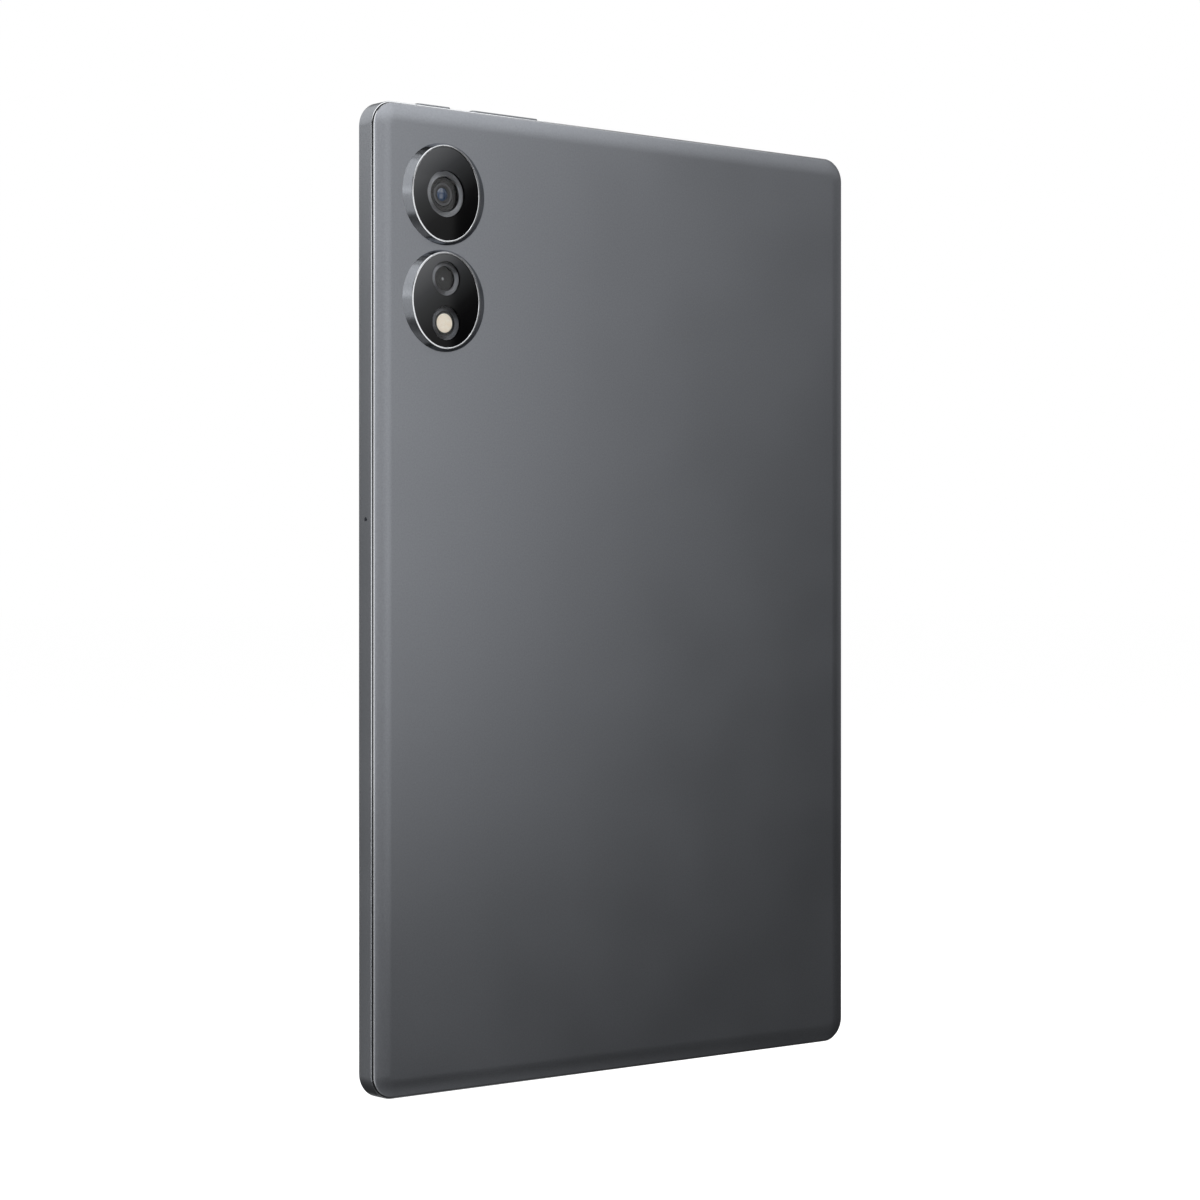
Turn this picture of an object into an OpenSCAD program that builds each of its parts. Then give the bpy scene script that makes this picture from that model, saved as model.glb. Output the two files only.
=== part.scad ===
// Tablet computer, about 11 inch class, standing upright on its short lower edge.
// Row frame: +X to the right seen from the screen side, +Y out of the back, +Z up.
// Every piece is drawn in a plan frame: u to the right and v up as seen from behind, both
// from the middle of the body, and w the depth from the screen glass towards the back.

/* [Body] */
// Width across the short side
body_w = 168.4; // [140:0.1:203]
// Length along the long side
body_l = 257; // [214:0.5:309]
// Depth from the screen glass to the flat back
body_t = 7.5; // [7.4:0.1:9.2]
// Radius of the corners of the outline
corner_r = 6.5; // [6.2:0.1:9]

/* [Side frame] */
// Thickness of the side walls
wall = 2; // [1.8:0.1:2.4]
// Polished chamfer on the rear edge
rim_chamfer = 0.25; // [0.2:0.05:0.5]
// Small chamfer on the front edge
front_chamfer = 0.3; // [0.1:0.05:0.4]
// Flat land between the chamfer and the shadow gap
rim_land = 0.05; // [0.05:0.05:0.2]
// Depth of the step that takes the rear cover
rim_depth = 0.7; // [0.5:0.05:0.9]
// Thickness of the plate between screen and battery
plate_t = 0.55; // [0.4:0.05:0.7]
// Distance that keys and holes sit behind the middle of the side wall
side_offset = 0.3; // [0:0.05:0.4]

/* [Screen] */
// Width of the black border around the picture
bezel = 10; // [9:0.5:14]
// Thickness of the screen glass
glass_t = 0.7; // [0.5:0.05:0.9]
// Height of the glass above the frame
glass_proud = 0.3; // [0.1:0.05:0.4]
// Width of the frame's lip outside the glass
lip = 0.75; // [0.6:0.05:1]
// Gap between lip and glass
glass_gap = 0.1; // [0.05:0.05:0.2]
// Radius of the rounded front edge of the glass
glass_edge = 0.35; // [0.2:0.05:0.4]
// Thickness of the tape under the glass
tape_t = 0.15; // [0.1:0.05:0.2]
// Thickness of the display cell
lcd_t = 0.5; // [0.4:0.05:0.7]
// Thickness of the backlight
backlight_t = 1.2; // [1:0.05:1.3]
// Edge of the display beyond the picture
lcd_border = 1.8; // [1:0.1:2.5]
// Space behind the backlight
lcd_clear = 0.25; // [0.2:0.05:0.4]

/* [Rear cover] */
// Thickness of the cover
cover_t = 0.8; // [0.6:0.05:0.9]
// Shadow gap between frame and cover
cover_gap = 0.15; // [0.1:0.05:0.6]
// Height of the flat back above the frame's rear edge
cover_rise = 1.6; // [1.3:0.1:1.7]
// Height of the cover's upright edge above the frame's rear edge
edge_rise = 0.55; // [0.1:0.05:0.8]
// Width of the rolled edge
roll_w = 5; // [4:0.1:5.2]
// Thickness of the gasket in the gap
gasket_t = 0.15; // [0.1:0.05:0.2]

/* [Cameras] */
// Distance of the cameras from the left edge, from behind
camera_left = 22; // [20:0.5:30]
// Distance of the upper camera from the top edge
camera_top = 22.8; // [21:0.2:30]
// Distance between the two camera rings
camera_pitch = 27.8; // [27:0.2:34]
// Diameter of the foot of a camera ring
ring_foot_d = 26.6; // [25.6:0.2:27]
// Width of the oval top of a ring
ring_top_w = 22.1; // [21:0.1:23.5]
// Height of the oval top of a ring
ring_top_h = 25.4; // [25:0.1:26]
// Height of a ring above the back
ring_rise = 1.2; // [1:0.1:1.6]
// Width of the polished rim of a ring
ring_rim = 0.5; // [0.4:0.05:0.6]
// Thickness of the camera glasses
camera_glass_t = 0.6; // [0.4:0.05:0.7]
// Diameter of the main lens trim
main_trim_d = 12.1; // [10:0.1:14]
// Diameter of the trims of the second camera and the flash
small_trim_d = 9; // [8:0.1:9.5]
// Distance of second camera and flash from their ring's centre
small_offset = 5.8; // [5:0.1:6]
// How far the focusing barrel stands out of its module
barrel_proud = 0.25; // [0.1:0.05:0.3]

/* [Keys] */
// Height of the keys across the side wall
key_h = 2.2; // [1.8:0.1:2.7]
// Height of the keys above the side wall
key_proud = 0.7; // [0.4:0.05:0.9]
// Clearance between a key and its slot
key_clear = 0.15; // [0.12:0.01:0.2]
// Length of the power key
power_l = 11; // [9:0.1:13.5]
// Distance of the power key from the left edge, from behind
power_left = 21.3; // [19:0.1:22]
// Travel of the power key
power_travel = 0.3; // [0.2:0.05:0.35]
// Length of the volume key
volume_l = 22.4; // [18:0.1:27]
// Distance of the volume key from the left edge, from behind
volume_left = 44.9; // [43:0.1:47]

/* [Card tray] */
// Space between the card reader and the speaker beside it
tray_space = 1.4; // [1:0.1:3]
// Length of the tray's head along the wall
tray_head_l = 18; // [17:0.1:18.4]
// Thickness of the tray's head
tray_head_t = 1.4; // [1.2:0.05:1.6]
// Width of the card carrier
tray_w = 13.2; // [13:0.1:13.4]
// Thickness of the card carrier
tray_t = 1.1; // [1:0.05:1.2]
// Length of the card carrier
tray_l = 27.7; // [27.6:0.1:34]
// Radius of the hole for the ejector pin
pin_hole_r = 0.5; // [0.4:0.05:0.6]
// Travel of the ejector rod
eject_travel = 1.2; // [0.8:0.1:1.2]
// Length of each arm of the ejector lever
lever_arm = 5.2; // [5:0.1:5.4]

/* [Sockets and sound] */
// Width of the USB-C shell
usb_w = 8.94; // [8.5:0.01:9.2]
// Height of the USB-C shell
usb_h = 3.2; // [3:0.01:3.3]
// Depth of the USB-C shell
usb_depth = 6.6; // [6:0.1:7]
// Holes in one speaker grille
grille_count = 10; // [6:1:11]
// Distance between grille holes
grille_pitch = 1.9; // [1.6:0.1:2.1]
// Radius of a grille hole
grille_r = 0.55; // [0.4:0.05:0.65]
// Distance of the outer speakers from the sides
speaker_margin = 8; // [7.5:0.5:12]
// Length of a speaker along the wall
speaker_l = 32; // [26:0.5:38.5]
// Depth of a speaker into the body
speaker_d = 16; // [13:0.5:19]
// Radius of the microphone hole
mic_r = 0.55; // [0.4:0.05:0.7]
// Height of the microphone above the middle
mic_up = 20.7; // [16:0.1:30]

/* [Boards and battery] */
// Thickness of the circuit boards
board_t = 0.8; // [0.6:0.05:0.9]
// Depth of the main board along the body
board_d = 46; // [40:0.5:55]
// Space between the boards and the rear cover
board_headroom = 0.9; // [0.8:0.05:1]
// Space around the battery
battery_margin = 3; // [2:0.5:5]
// Gap between the two cells
cell_gap = 3; // [2:0.5:6]
// Length of the lower board's zone
lower_zone = 27; // [25:0.5:32]

/* [Hidden] */
$fn = 64;

// Colours
frame_grey = "#74777b";
cover_grey = "#6c6f74";
silver = "#c4c6c9";
black = "#141516";
soft_black = "#232426";
ink = "#0c0c0d";
amber = "#c58a3d";
board_green = "#1f4b3a";
steel = "#a9abae";
gold = "#c9a552";
cream = "#e6dccb";
battery_grey = "#3b3e42";

// A hair of extra length for cuts that have to break through a face
cut = 0.5;
// Gap that keeps neighbouring pieces from touching
air = 0.05;
// Space kept between soft or loose pieces and their housing
slack = 0.1;

// Depths, all from the face of the screen glass
front_ledge = glass_t + tape_t;
lcd_rear = glass_t + lcd_t + backlight_t;
plate_front = lcd_rear + lcd_clear;
plate_rear = plate_front + plate_t;
rim = body_t - cover_rise;
rear_ledge = rim - rim_depth;
cover_inside = body_t - cover_t;
board_rear = cover_inside - board_headroom;
board_front = board_rear - board_t;
side_line = (glass_proud + rim) / 2 + side_offset;
ring_top = body_t + ring_rise;
front_y = -ring_top / 2;

// Insets from the outline of the body
cover_inset = rim_chamfer + rim_land + cover_gap;
glass_inset = lip + glass_gap;
lcd_inset = bezel - lcd_border;

function from_left(s) = s - body_w / 2;
function from_right(s) = body_w / 2 - s;
function from_top(d) = body_l / 2 - d;
function from_bottom(d) = d - body_l / 2;

// ---- Shared shapes -------------------------------------------------------------------

// Puts a piece drawn in the plan frame into the row frame
module placed() {
    translate([0, front_y, body_l / 2]) rotate([90, 0, 180]) children();
}

// Frames whose third axis points out through an edge of the body
module on_top_edge(u, w) {
    translate([u, body_l / 2, w]) rotate([-90, 0, 0]) children();
}
module on_bottom_edge(u, w) {
    translate([u, -body_l / 2, w]) rotate([90, 0, 0]) children();
}
module on_left_edge(v, w) {
    translate([-body_w / 2, v, w]) rotate([0, -90, 0]) children();
}

module box(u0, u1, v0, v1, w0, w1) {
    translate([u0, v0, w0]) cube([u1 - u0, v1 - v0, w1 - w0]);
}

// A block with a rounded outline whose edge follows a profile of [inset, depth] points,
// listed from the front face to the rear face
module edged_block(w, l, r, edge) {
    last = len(edge) - 1;
    front = edge[0][1];
    rear = edge[last][1];
    half = concat([for (p = edge) [r - p[0], p[1]]], [[0, rear], [0, front]]);
    across = w / 2 - r;
    along = l / 2 - r;
    for (i = [0:3])
        translate([(i == 0 || i == 3 ? across : -across), (i < 2 ? along : -along), 0])
            rotate([0, 0, 90 * i]) rotate_extrude(angle = 90) polygon(half);
    for (side = [0, 1]) {
        rotate([0, 0, 180 * side]) translate([across, along, 0]) rotate([90, 0, 0])
            linear_extrude(height = 2 * along) polygon(half);
        rotate([0, 0, 90 + 180 * side]) translate([along, across, 0]) rotate([90, 0, 0])
            linear_extrude(height = 2 * across) polygon(half);
    }
    box(-across, across, -along, along, front, rear);
}

// A plain slab with the body's outline, moved inwards by inset
module outline_slab(inset, w0, w1) {
    edged_block(body_w - 2 * inset, body_l - 2 * inset, corner_r - inset, [[0, w0], [0, w1]]);
}

// A bar with round ends, centred, its length along the first axis
module pill(length, height, z0, z1) {
    half = (length - height) / 2;
    translate([0, 0, z0]) linear_extrude(height = z1 - z0) {
        square([2 * half, height], center = true);
        for (side = [-1, 1]) translate([side * half, 0]) circle(d = height);
    }
}

// An oval plate, centred
module oval(width, height, z0, z1, steps = 64) {
    points = [for (i = [0:steps - 1])
        [width / 2 * cos(360 * i / steps), height / 2 * sin(360 * i / steps)]];
    translate([0, 0, z0]) linear_extrude(height = z1 - z0) polygon(points);
}

module disc(r, z0, z1) {
    translate([0, 0, z0]) cylinder(r = r, h = z1 - z0);
}

// ---- Side frame with its middle plate --------------------------------------------------

key_bay_left = power_left - power_l / 2 - 3;
key_bay_right = volume_left + volume_l / 2 + 3;
key_bay_depth = wall + 2.5;
flange_over = 0.4;
key_bay_front = side_line - key_h / 2 - flange_over - 0.15;
tray_mid = plate_rear + 0.85;
tray_head_h = 2.2;
tray_head_clear = 0.1;
nozzle_d = 5.6;
nozzle_front = side_line - 1.1;
mesh_t = 0.15;
grille_span = (grille_count - 1) * grille_pitch;
speaker_top_left_u = from_left(key_bay_right + 2 + speaker_l / 2);
speaker_end_u = from_right(speaker_margin + speaker_l / 2);
usb_mid = board_front - usb_h / 2;
usb_clear = 0.1;
mic_bay = [3, 6];
front_camera_left = 5.1;
front_camera_size = 5.6;
sensor_up = 10;
sensor_size = [2.4, 3.4];
flex_slot_top = 40;
flex_slot_w = 24;
boss_r = 1.6;
screw_r = 0.6;

module frame_outside() {
    edged_block(body_w, body_l, corner_r, [
        [front_chamfer, glass_proud], [0, glass_proud + front_chamfer],
        [0, rim - rim_chamfer], [rim_chamfer, rim]
    ]);
}

module grille_holes() {
    for (i = [0:grille_count - 1])
        translate([i * grille_pitch - grille_span / 2, 0, 0]) disc(grille_r, -wall - cut, cut);
}

// Turns a piece drawn at the top edge to the edge asked for, 1 for the top and -1 for the bottom
module at_edge(edge) {
    rotate([0, 0, edge > 0 ? 0 : 180]) children();
}

module speaker_bay(u, edge) {
    half = grille_span / 2 + 2;
    translate([u, 0, 0]) at_edge(edge)
        box(-half, half, from_top(wall + nozzle_d + slack), from_top(wall),
            nozzle_front - slack, plate_rear + cut);
}

board_left = camera_left + ring_foot_d / 2 + 5;
board_right = 8;
board_top = speaker_d + wall + 2.5;
screw_spots = [
    [from_left(board_left + 4), from_top(board_top + 4)],
    [from_left(board_left + 4), from_top(board_top + board_d - 4)],
    [from_right(board_right + 4), from_top(board_top + 4)],
    [from_right(board_right + 4), from_top(board_top + board_d - 4)],
    [-24, from_bottom(wall + 5)],
    [24, from_bottom(wall + 5)],
    [-24, from_bottom(lower_zone - 6)],
    [24, from_bottom(lower_zone - 6)]
];

module mid_frame() {
    color(frame_grey) placed() {
        difference() {
            frame_outside();
            // pockets for the glass, the display and the electronics
            outline_slab(lip, glass_proud - cut, front_ledge);
            box(-body_w / 2 + lcd_inset - slack, body_w / 2 - lcd_inset + slack,
                -body_l / 2 + lcd_inset - slack, body_l / 2 - lcd_inset + slack,
                front_ledge - cut, plate_front);
            outline_slab(wall, plate_rear, rim + cut);
            outline_slab(rim_chamfer + rim_land, rear_ledge, rim + cut);
            // key slots and the bay behind them
            on_top_edge(from_left(power_left), side_line)
                pill(power_l + 2 * key_clear, key_h + 2 * key_clear, -wall - cut, cut);
            on_top_edge(from_left(volume_left), side_line)
                pill(volume_l + 2 * key_clear, key_h + 2 * key_clear, -wall - cut, cut);
            box(from_left(key_bay_left), from_left(key_bay_right), from_top(key_bay_depth),
                from_top(wall), key_bay_front, plate_rear + cut);
            // card tray slot
            on_top_edge(tray_u, tray_mid)
                pill(tray_head_l + 2 * tray_head_clear, tray_head_h + 2 * tray_head_clear,
                     -wall - cut, cut);
            // speaker grilles and the bays behind them
            for (u = [speaker_top_left_u, speaker_end_u]) {
                on_top_edge(u, side_line) grille_holes();
                speaker_bay(u, 1);
            }
            for (u = [-speaker_end_u, speaker_end_u]) {
                on_bottom_edge(u, side_line) grille_holes();
                speaker_bay(u, -1);
            }
            // USB-C opening and the room for its shell
            on_bottom_edge(0, usb_mid)
                pill(usb_w + 2 * usb_clear, usb_h + 2 * usb_clear, -wall - cut, cut);
            box(-usb_w / 2 - slack, usb_w / 2 + slack, from_bottom(wall - slack),
                from_bottom(wall + usb_depth), usb_mid - usb_h / 2 - usb_clear,
                plate_rear + cut);
            // microphone, front camera and light sensor
            on_left_edge(mic_up, side_line) disc(mic_r, -wall - cut, cut);
            box(from_left(wall - air), from_left(wall + mic_bay[0]), mic_up - mic_bay[1] / 2,
                mic_up + mic_bay[1] / 2, side_line - 1.5, plate_rear + cut);
            translate([from_left(front_camera_left), 0, 0])
                box(-front_camera_size / 2 - slack, front_camera_size / 2 + slack,
                    -front_camera_size / 2 - slack, front_camera_size / 2 + slack,
                    front_ledge - cut, plate_rear + cut);
            translate([from_left(front_camera_left), sensor_up, 0])
                box(-sensor_size[0] / 2 - slack, sensor_size[0] / 2 + slack,
                    -sensor_size[1] / 2 - slack, sensor_size[1] / 2 + slack,
                    front_ledge - cut, plate_rear - 0.3);
            // slot for the display flex
            box(-flex_slot_w / 2, flex_slot_w / 2, from_top(flex_slot_top + 4),
                from_top(flex_slot_top), plate_front - cut, plate_rear + cut);
        }
        for (spot = screw_spots)
            translate([spot[0], spot[1], 0]) difference() {
                disc(boss_r, plate_rear - air, board_front);
                disc(screw_r + air, plate_rear + 0.1, board_front + cut);
            }
    }
}

// ---- Rear cover --------------------------------------------------------------------------

roll_steps = 10;
cover_w = body_w - 2 * cover_inset;
cover_l = body_l - 2 * cover_inset;
cover_r = corner_r - cover_inset;
cover_foot = rear_ledge + gasket_t;
// Depth of the cover's outside at a distance x from its edge
function roll(x) = rim + edge_rise
    + (cover_rise - edge_rise) * (1 - pow(1 - min(x / roll_w, 1), 2));

ring_wall = 0.55;
collar_r = ring_top_h / 2 - ring_rim - 0.8 + ring_wall;
collar_gap = 0.2;
camera_u = from_left(camera_left);
upper_v = from_top(camera_top);
lower_v = upper_v - camera_pitch;

module rear_cover() {
    outside = concat([[0, cover_foot]], [for (i = [0:roll_steps])
        let (x = roll_w * i / roll_steps) [x, roll(x)]]);
    inside = concat([[0, cover_foot - cut]], [for (i = [0:roll_steps])
        let (x = cover_t + (roll_w - cover_t) * i / roll_steps) [x - cover_t, roll(x) - cover_t]]);
    color(cover_grey) placed() difference() {
        edged_block(cover_w, cover_l, cover_r, outside);
        edged_block(cover_w - 2 * cover_t, cover_l - 2 * cover_t, cover_r - cover_t, inside);
        for (v = [upper_v, lower_v])
            translate([camera_u, v, 0]) disc(collar_r + collar_gap, cover_inside - cut, body_t + cut);
    }
}

module rear_cover_gasket() {
    inner = cover_inset + cover_t;
    color(black) placed() difference() {
        outline_slab(rim_chamfer + rim_land + air, rear_ledge, rear_ledge + gasket_t);
        outline_slab(inner, rear_ledge - cut, rear_ledge + gasket_t + cut);
    }
}

// ---- Screen --------------------------------------------------------------------------------

module cover_glass() {
    steps = 5;
    round = [for (i = [0:steps]) let (a = 90 * i / steps)
        [glass_edge * (1 - sin(a)), glass_edge * (1 - cos(a))]];
    color(ink) placed()
        edged_block(body_w - 2 * glass_inset, body_l - 2 * glass_inset, corner_r - glass_inset,
                    concat(round, [[0, glass_t]]));
}

module screen_adhesive() {
    width = 2.2;
    clear = front_camera_left - front_camera_size / 2 - slack;
    color(soft_black) placed() difference() {
        outline_slab(glass_inset, glass_t, front_ledge);
        outline_slab(min(glass_inset + width, clear), glass_t - cut, front_ledge + cut);
    }
}

module lcd_panel() {
    color(ink) placed()
        box(-body_w / 2 + lcd_inset, body_w / 2 - lcd_inset, -body_l / 2 + lcd_inset,
            body_l / 2 - lcd_inset, glass_t, glass_t + lcd_t);
}

module backlight_unit() {
    step = 0.6;
    color(silver) placed()
        box(-body_w / 2 + lcd_inset + step, body_w / 2 - lcd_inset - step,
            -body_l / 2 + lcd_inset + step, body_l / 2 - lcd_inset - step,
            glass_t + lcd_t, lcd_rear);
}

flex_t = 0.12;
flex_w = 20;
connector_h = 0.6;

// Ribbon from the backlight's rear face, through the slot, to the main board
module display_flex() {
    low = lcd_rear;
    high = board_front - connector_h;
    rise = from_top(flex_slot_top + 2);
    color(amber) placed() {
        box(-flex_w / 2, flex_w / 2, rise, from_top(lcd_inset + 3), low, low + flex_t);
        box(-flex_w / 2, flex_w / 2, rise, rise + flex_t, low, high);
        box(-flex_w / 2, flex_w / 2, rise - 10, rise + flex_t, high - flex_t, high);
    }
}

// ---- Keys ------------------------------------------------------------------------------------

power_flange_gap = 0.05;
volume_flange_gap = 0.4;
flange_t = 0.45;
nub_r = 0.7;
dome_out = wall + 1.35;
dome_t = 0.2;
volume_dome_offset = 7;
rocker_axis = wall + 1;
rocker_r = 0.35;

module key_cap(length, flange_gap) {
    pill(length, key_h, -wall - flange_gap, key_proud);
    pill(length + 2 * flange_over, key_h + 2 * flange_over,
         -wall - flange_gap - flange_t, -wall - flange_gap);
}

module power_key() {
    reach = dome_out - power_travel - air;
    color(frame_grey) placed() on_top_edge(from_left(power_left), side_line) {
        key_cap(power_l, power_flange_gap);
        disc(nub_r, -reach, -wall - power_flange_gap - flange_t);
    }
}

module volume_key() {
    reach = dome_out - 0.25;
    color(frame_grey) placed() on_top_edge(from_left(volume_left), side_line) {
        key_cap(volume_l, volume_flange_gap);
        for (side = [-1, 1]) translate([side * volume_dome_offset, 0, 0])
            disc(nub_r, -reach, -wall - volume_flange_gap - flange_t);
        translate([0, 0, -rocker_axis]) rotate([90, 0, 0])
            translate([0, 0, -key_h / 2]) cylinder(r = rocker_r, h = key_h);
    }
}

module side_key_domes() {
    color(steel) placed()
        for (s = [power_left, volume_left - volume_dome_offset, volume_left + volume_dome_offset])
            on_top_edge(from_left(s), side_line) disc(1.2, -dome_out - dome_t, -dome_out);
}

module key_strip(near, far, height, inset) {
    box(from_left(key_bay_left + inset), from_left(key_bay_right - inset), from_top(far),
        from_top(near), side_line - height / 2, side_line + height / 2);
}

module side_key_flex() {
    near = dome_out + dome_t;
    color(amber) placed() key_strip(near, near + flex_t, 2.6, 1);
}

module side_key_bracket() {
    near = dome_out + dome_t + flex_t;
    color(steel) placed() key_strip(near, near + 0.5, 2.8, 0);
}

// ---- Card tray, reader and ejector -------------------------------------------------------------

rod_w = 0.9;
channel_clear = 0.1;
reader_wall = 0.4;
rod_u = tray_w / 2 + 0.55 + rod_w / 2;
pivot_u = rod_u - lever_arm;
reader_right = rod_u + rod_w / 2 + channel_clear + reader_wall;
reader_left = tray_w / 2 + channel_clear + reader_wall;
tray_u = speaker_end_u - speaker_l / 2 - tray_space - reader_right;
tray_end = tray_head_t + tray_l;
lever_t = 0.8;
rod_gap = 0.15;
lever_gap = 0.2 + (lever_arm + 0.4) / lever_arm * eject_travel;
lever_depth = tray_end + lever_gap + lever_t / 2;
rod_end = lever_depth - lever_t / 2 - rod_gap;
rod_start = tray_head_t + slack;
pivot_r = 0.5;
pivot_clear = 0.05;
eye_r = 1.1;
bay_end = lever_depth + lever_t / 2 + eject_travel + 0.4;
reader_end = bay_end + 0.6;
reader_front = wall + 1;
cavity_h = tray_t + 2 * channel_clear;

// A bar along the tray's direction, between two depths from the top edge
module lane(u0, u1, near, far, height) {
    box(tray_u + u0, tray_u + u1, from_top(far), from_top(near), tray_mid - height / 2,
        tray_mid + height / 2);
}

module card_tray() {
    sim = [12.3, 8.8];
    memory = [11, 15];
    rib = 1.2;
    color(frame_grey) placed() difference() {
        union() {
            on_top_edge(tray_u, tray_mid) pill(tray_head_l, tray_head_h, -tray_head_t, 0);
            lane(-tray_w / 2, tray_w / 2, tray_head_t - slack, tray_end, tray_t);
        }
        on_top_edge(tray_u + rod_u, tray_mid) disc(pin_hole_r, -tray_head_t - cut, cut);
        lane(-sim[0] / 2, sim[0] / 2, tray_head_t + rib, tray_head_t + rib + sim[1], tray_t + cut);
        lane(-memory[0] / 2, memory[0] / 2, tray_end - rib - memory[1], tray_end - rib,
             tray_t + cut);
    }
}

module card_reader() {
    left = -tray_w / 2 - channel_clear;
    right = rod_u + rod_w / 2 + channel_clear;
    color(steel) placed() difference() {
        box(tray_u - reader_left, tray_u + reader_right, from_top(reader_end),
            from_top(reader_front), plate_rear + air, board_front);
        lane(left, -left, reader_front - cut, bay_end, cavity_h);
        lane(rod_u - rod_w / 2 - channel_clear, right, reader_front - cut, bay_end, cavity_h);
        lane(left, right, tray_end + 0.3, bay_end, cavity_h);
    }
}

module ejector_rod() {
    color(steel) placed()
        lane(rod_u - rod_w / 2, rod_u + rod_w / 2, rod_start, rod_end, rod_w);
}

module ejector_lever() {
    reach = lever_arm + 0.4;
    color(steel) placed() difference() {
        union() {
            lane(pivot_u - reach, pivot_u + reach, lever_depth - lever_t / 2,
                 lever_depth + lever_t / 2, rod_w);
            translate([tray_u + pivot_u, from_top(lever_depth), 0])
                disc(eye_r, tray_mid - rod_w / 2, tray_mid + rod_w / 2);
        }
        translate([tray_u + pivot_u, from_top(lever_depth), 0])
            disc(pivot_r + pivot_clear, tray_mid - rod_w, tray_mid + rod_w);
    }
}

module ejector_pivot() {
    color(steel) placed() translate([tray_u + pivot_u, from_top(lever_depth), 0])
        disc(pivot_r, tray_mid - cavity_h / 2, tray_mid + cavity_h / 2);
}

// ---- Cameras and flash ---------------------------------------------------------------------------

glass_recess = 0.1;
glass_fit = 0.05;
ring_ledge = 0.8;
mask_fit = 0.1;
camera_glass_rear = ring_top - glass_recess;
camera_glass_front = camera_glass_rear - camera_glass_t;
mask_front = camera_glass_front - 0.5;
pocket_w = ring_top_w - 2 * ring_rim;
pocket_h = ring_top_h - 2 * ring_rim;
opening_w = pocket_w - 2 * ring_ledge;
opening_h = pocket_h - 2 * ring_ledge;
trim_slope = 1.45;
small_slope = 1.3;
trim_fit = 0.05;
module_rear = cover_inside + 0.2;
module_size = 8.6;
barrel_r = 3;
barrel_clear = 0.2;
barrel_rear = module_rear + barrel_proud;
main_lens_r = 1.7;

module at_upper() { translate([camera_u, upper_v, 0]) children(); }
module at_lower() { translate([camera_u, lower_v, 0]) children(); }
module at_second() { at_lower() translate([0, small_offset, 0]) children(); }
module at_flash() { at_lower() translate([0, -small_offset, 0]) children(); }

// A ring that leans from a round foot to an oval top, with a collar through the cover
module camera_ring() {
    skin = 0.02;
    difference() {
        union() {
            hull() {
                disc(ring_foot_d / 2, body_t, body_t + skin);
                oval(ring_top_w, ring_top_h, ring_top - skin, ring_top);
            }
            disc(collar_r, cover_inside, body_t);
        }
        oval(pocket_w, pocket_h, camera_glass_front, ring_top + cut);
        oval(opening_w, opening_h, cover_inside - cut, camera_glass_front + air);
    }
}

module camera_glass() {
    oval(pocket_w - 2 * glass_fit, pocket_h - 2 * glass_fit, camera_glass_front,
         camera_glass_rear);
}

module camera_mask() {
    oval(opening_w - 2 * mask_fit, opening_h - 2 * mask_fit, mask_front, camera_glass_front);
}

// A dished ring: its face slopes down from the outer edge to the bore
module lens_trim(outer_r, slope) {
    face = camera_glass_front;
    low = face - 0.5;
    base = mask_front - 0.2;
    rotate_extrude() polygon([
        [outer_r - slope, base], [outer_r, base], [outer_r, face], [outer_r - 0.15, face],
        [outer_r - slope, low]
    ]);
}

// A plano-convex lens with a spherical crown
module lens_cap(r, base, side, crown) {
    sphere_r = (r * r + crown * crown) / (2 * crown);
    steps = 8;
    sweep = asin(r / sphere_r);
    rotate_extrude() polygon(concat([[0, base], [r, base], [r, side]],
        [for (i = [1:steps]) let (a = sweep * (1 - i / steps))
            [sphere_r * sin(a), side + crown - sphere_r + sphere_r * cos(a)]]));
}

module main_camera_ring() { color(cover_grey) placed() at_upper() camera_ring(); }
module second_camera_ring() { color(cover_grey) placed() at_lower() camera_ring(); }
module main_camera_glass() { color(ink) placed() at_upper() camera_glass(); }
module second_camera_glass() { color(ink) placed() at_lower() camera_glass(); }

module main_camera_mask() {
    color(ink) placed() at_upper() difference() {
        camera_mask();
        disc(main_trim_d / 2 + trim_fit, mask_front - cut, camera_glass_front + cut);
    }
}

module second_camera_mask() {
    color(ink) placed() difference() {
        at_lower() camera_mask();
        at_second() disc(small_trim_d / 2 + trim_fit, mask_front - cut, camera_glass_front + cut);
        at_flash() disc(small_trim_d / 2 + trim_fit, mask_front - cut, camera_glass_front + cut);
    }
}

module main_lens_trim() {
    color(steel) placed() at_upper() lens_trim(main_trim_d / 2, trim_slope);
}
module second_lens_trim() {
    color(steel) placed() at_second() lens_trim(small_trim_d / 2, small_slope);
}
module flash_trim() {
    color(steel) placed() at_flash() lens_trim(small_trim_d / 2, small_slope);
}

barrel_depth = 1.8;

module main_camera_module() {
    half = module_size / 2;
    color(black) placed() at_upper() difference() {
        box(-half, half, -half, half, plate_rear, module_rear);
        disc(barrel_r + barrel_clear, module_rear - barrel_depth, module_rear + cut);
    }
}

module main_lens_barrel() {
    color(soft_black) placed() at_upper() difference() {
        disc(barrel_r, module_rear - barrel_depth + slack, barrel_rear);
        disc(main_lens_r, barrel_rear - 0.6, barrel_rear + cut);
    }
}

module main_front_lens() {
    color("#1d3246") placed() at_upper()
        lens_cap(main_lens_r, barrel_rear - 0.6, barrel_rear - 0.35, 0.3);
}

second_lens_r = 0.45;

second_half = 3.4;

module second_camera_module() {
    half = second_half;
    barrel = 3.1;
    color(black) placed() at_second() difference() {
        union() {
            box(-half, half, -half, half, plate_rear, module_rear);
            disc(barrel, module_rear - air, barrel_rear);
        }
        disc(second_lens_r, barrel_rear - 0.3, barrel_rear + cut);
    }
}

module second_front_lens() {
    color("#1d3246") placed() at_second()
        lens_cap(second_lens_r, barrel_rear - 0.3, barrel_rear - 0.2, 0.12);
}

flash_r = 2.5;

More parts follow.
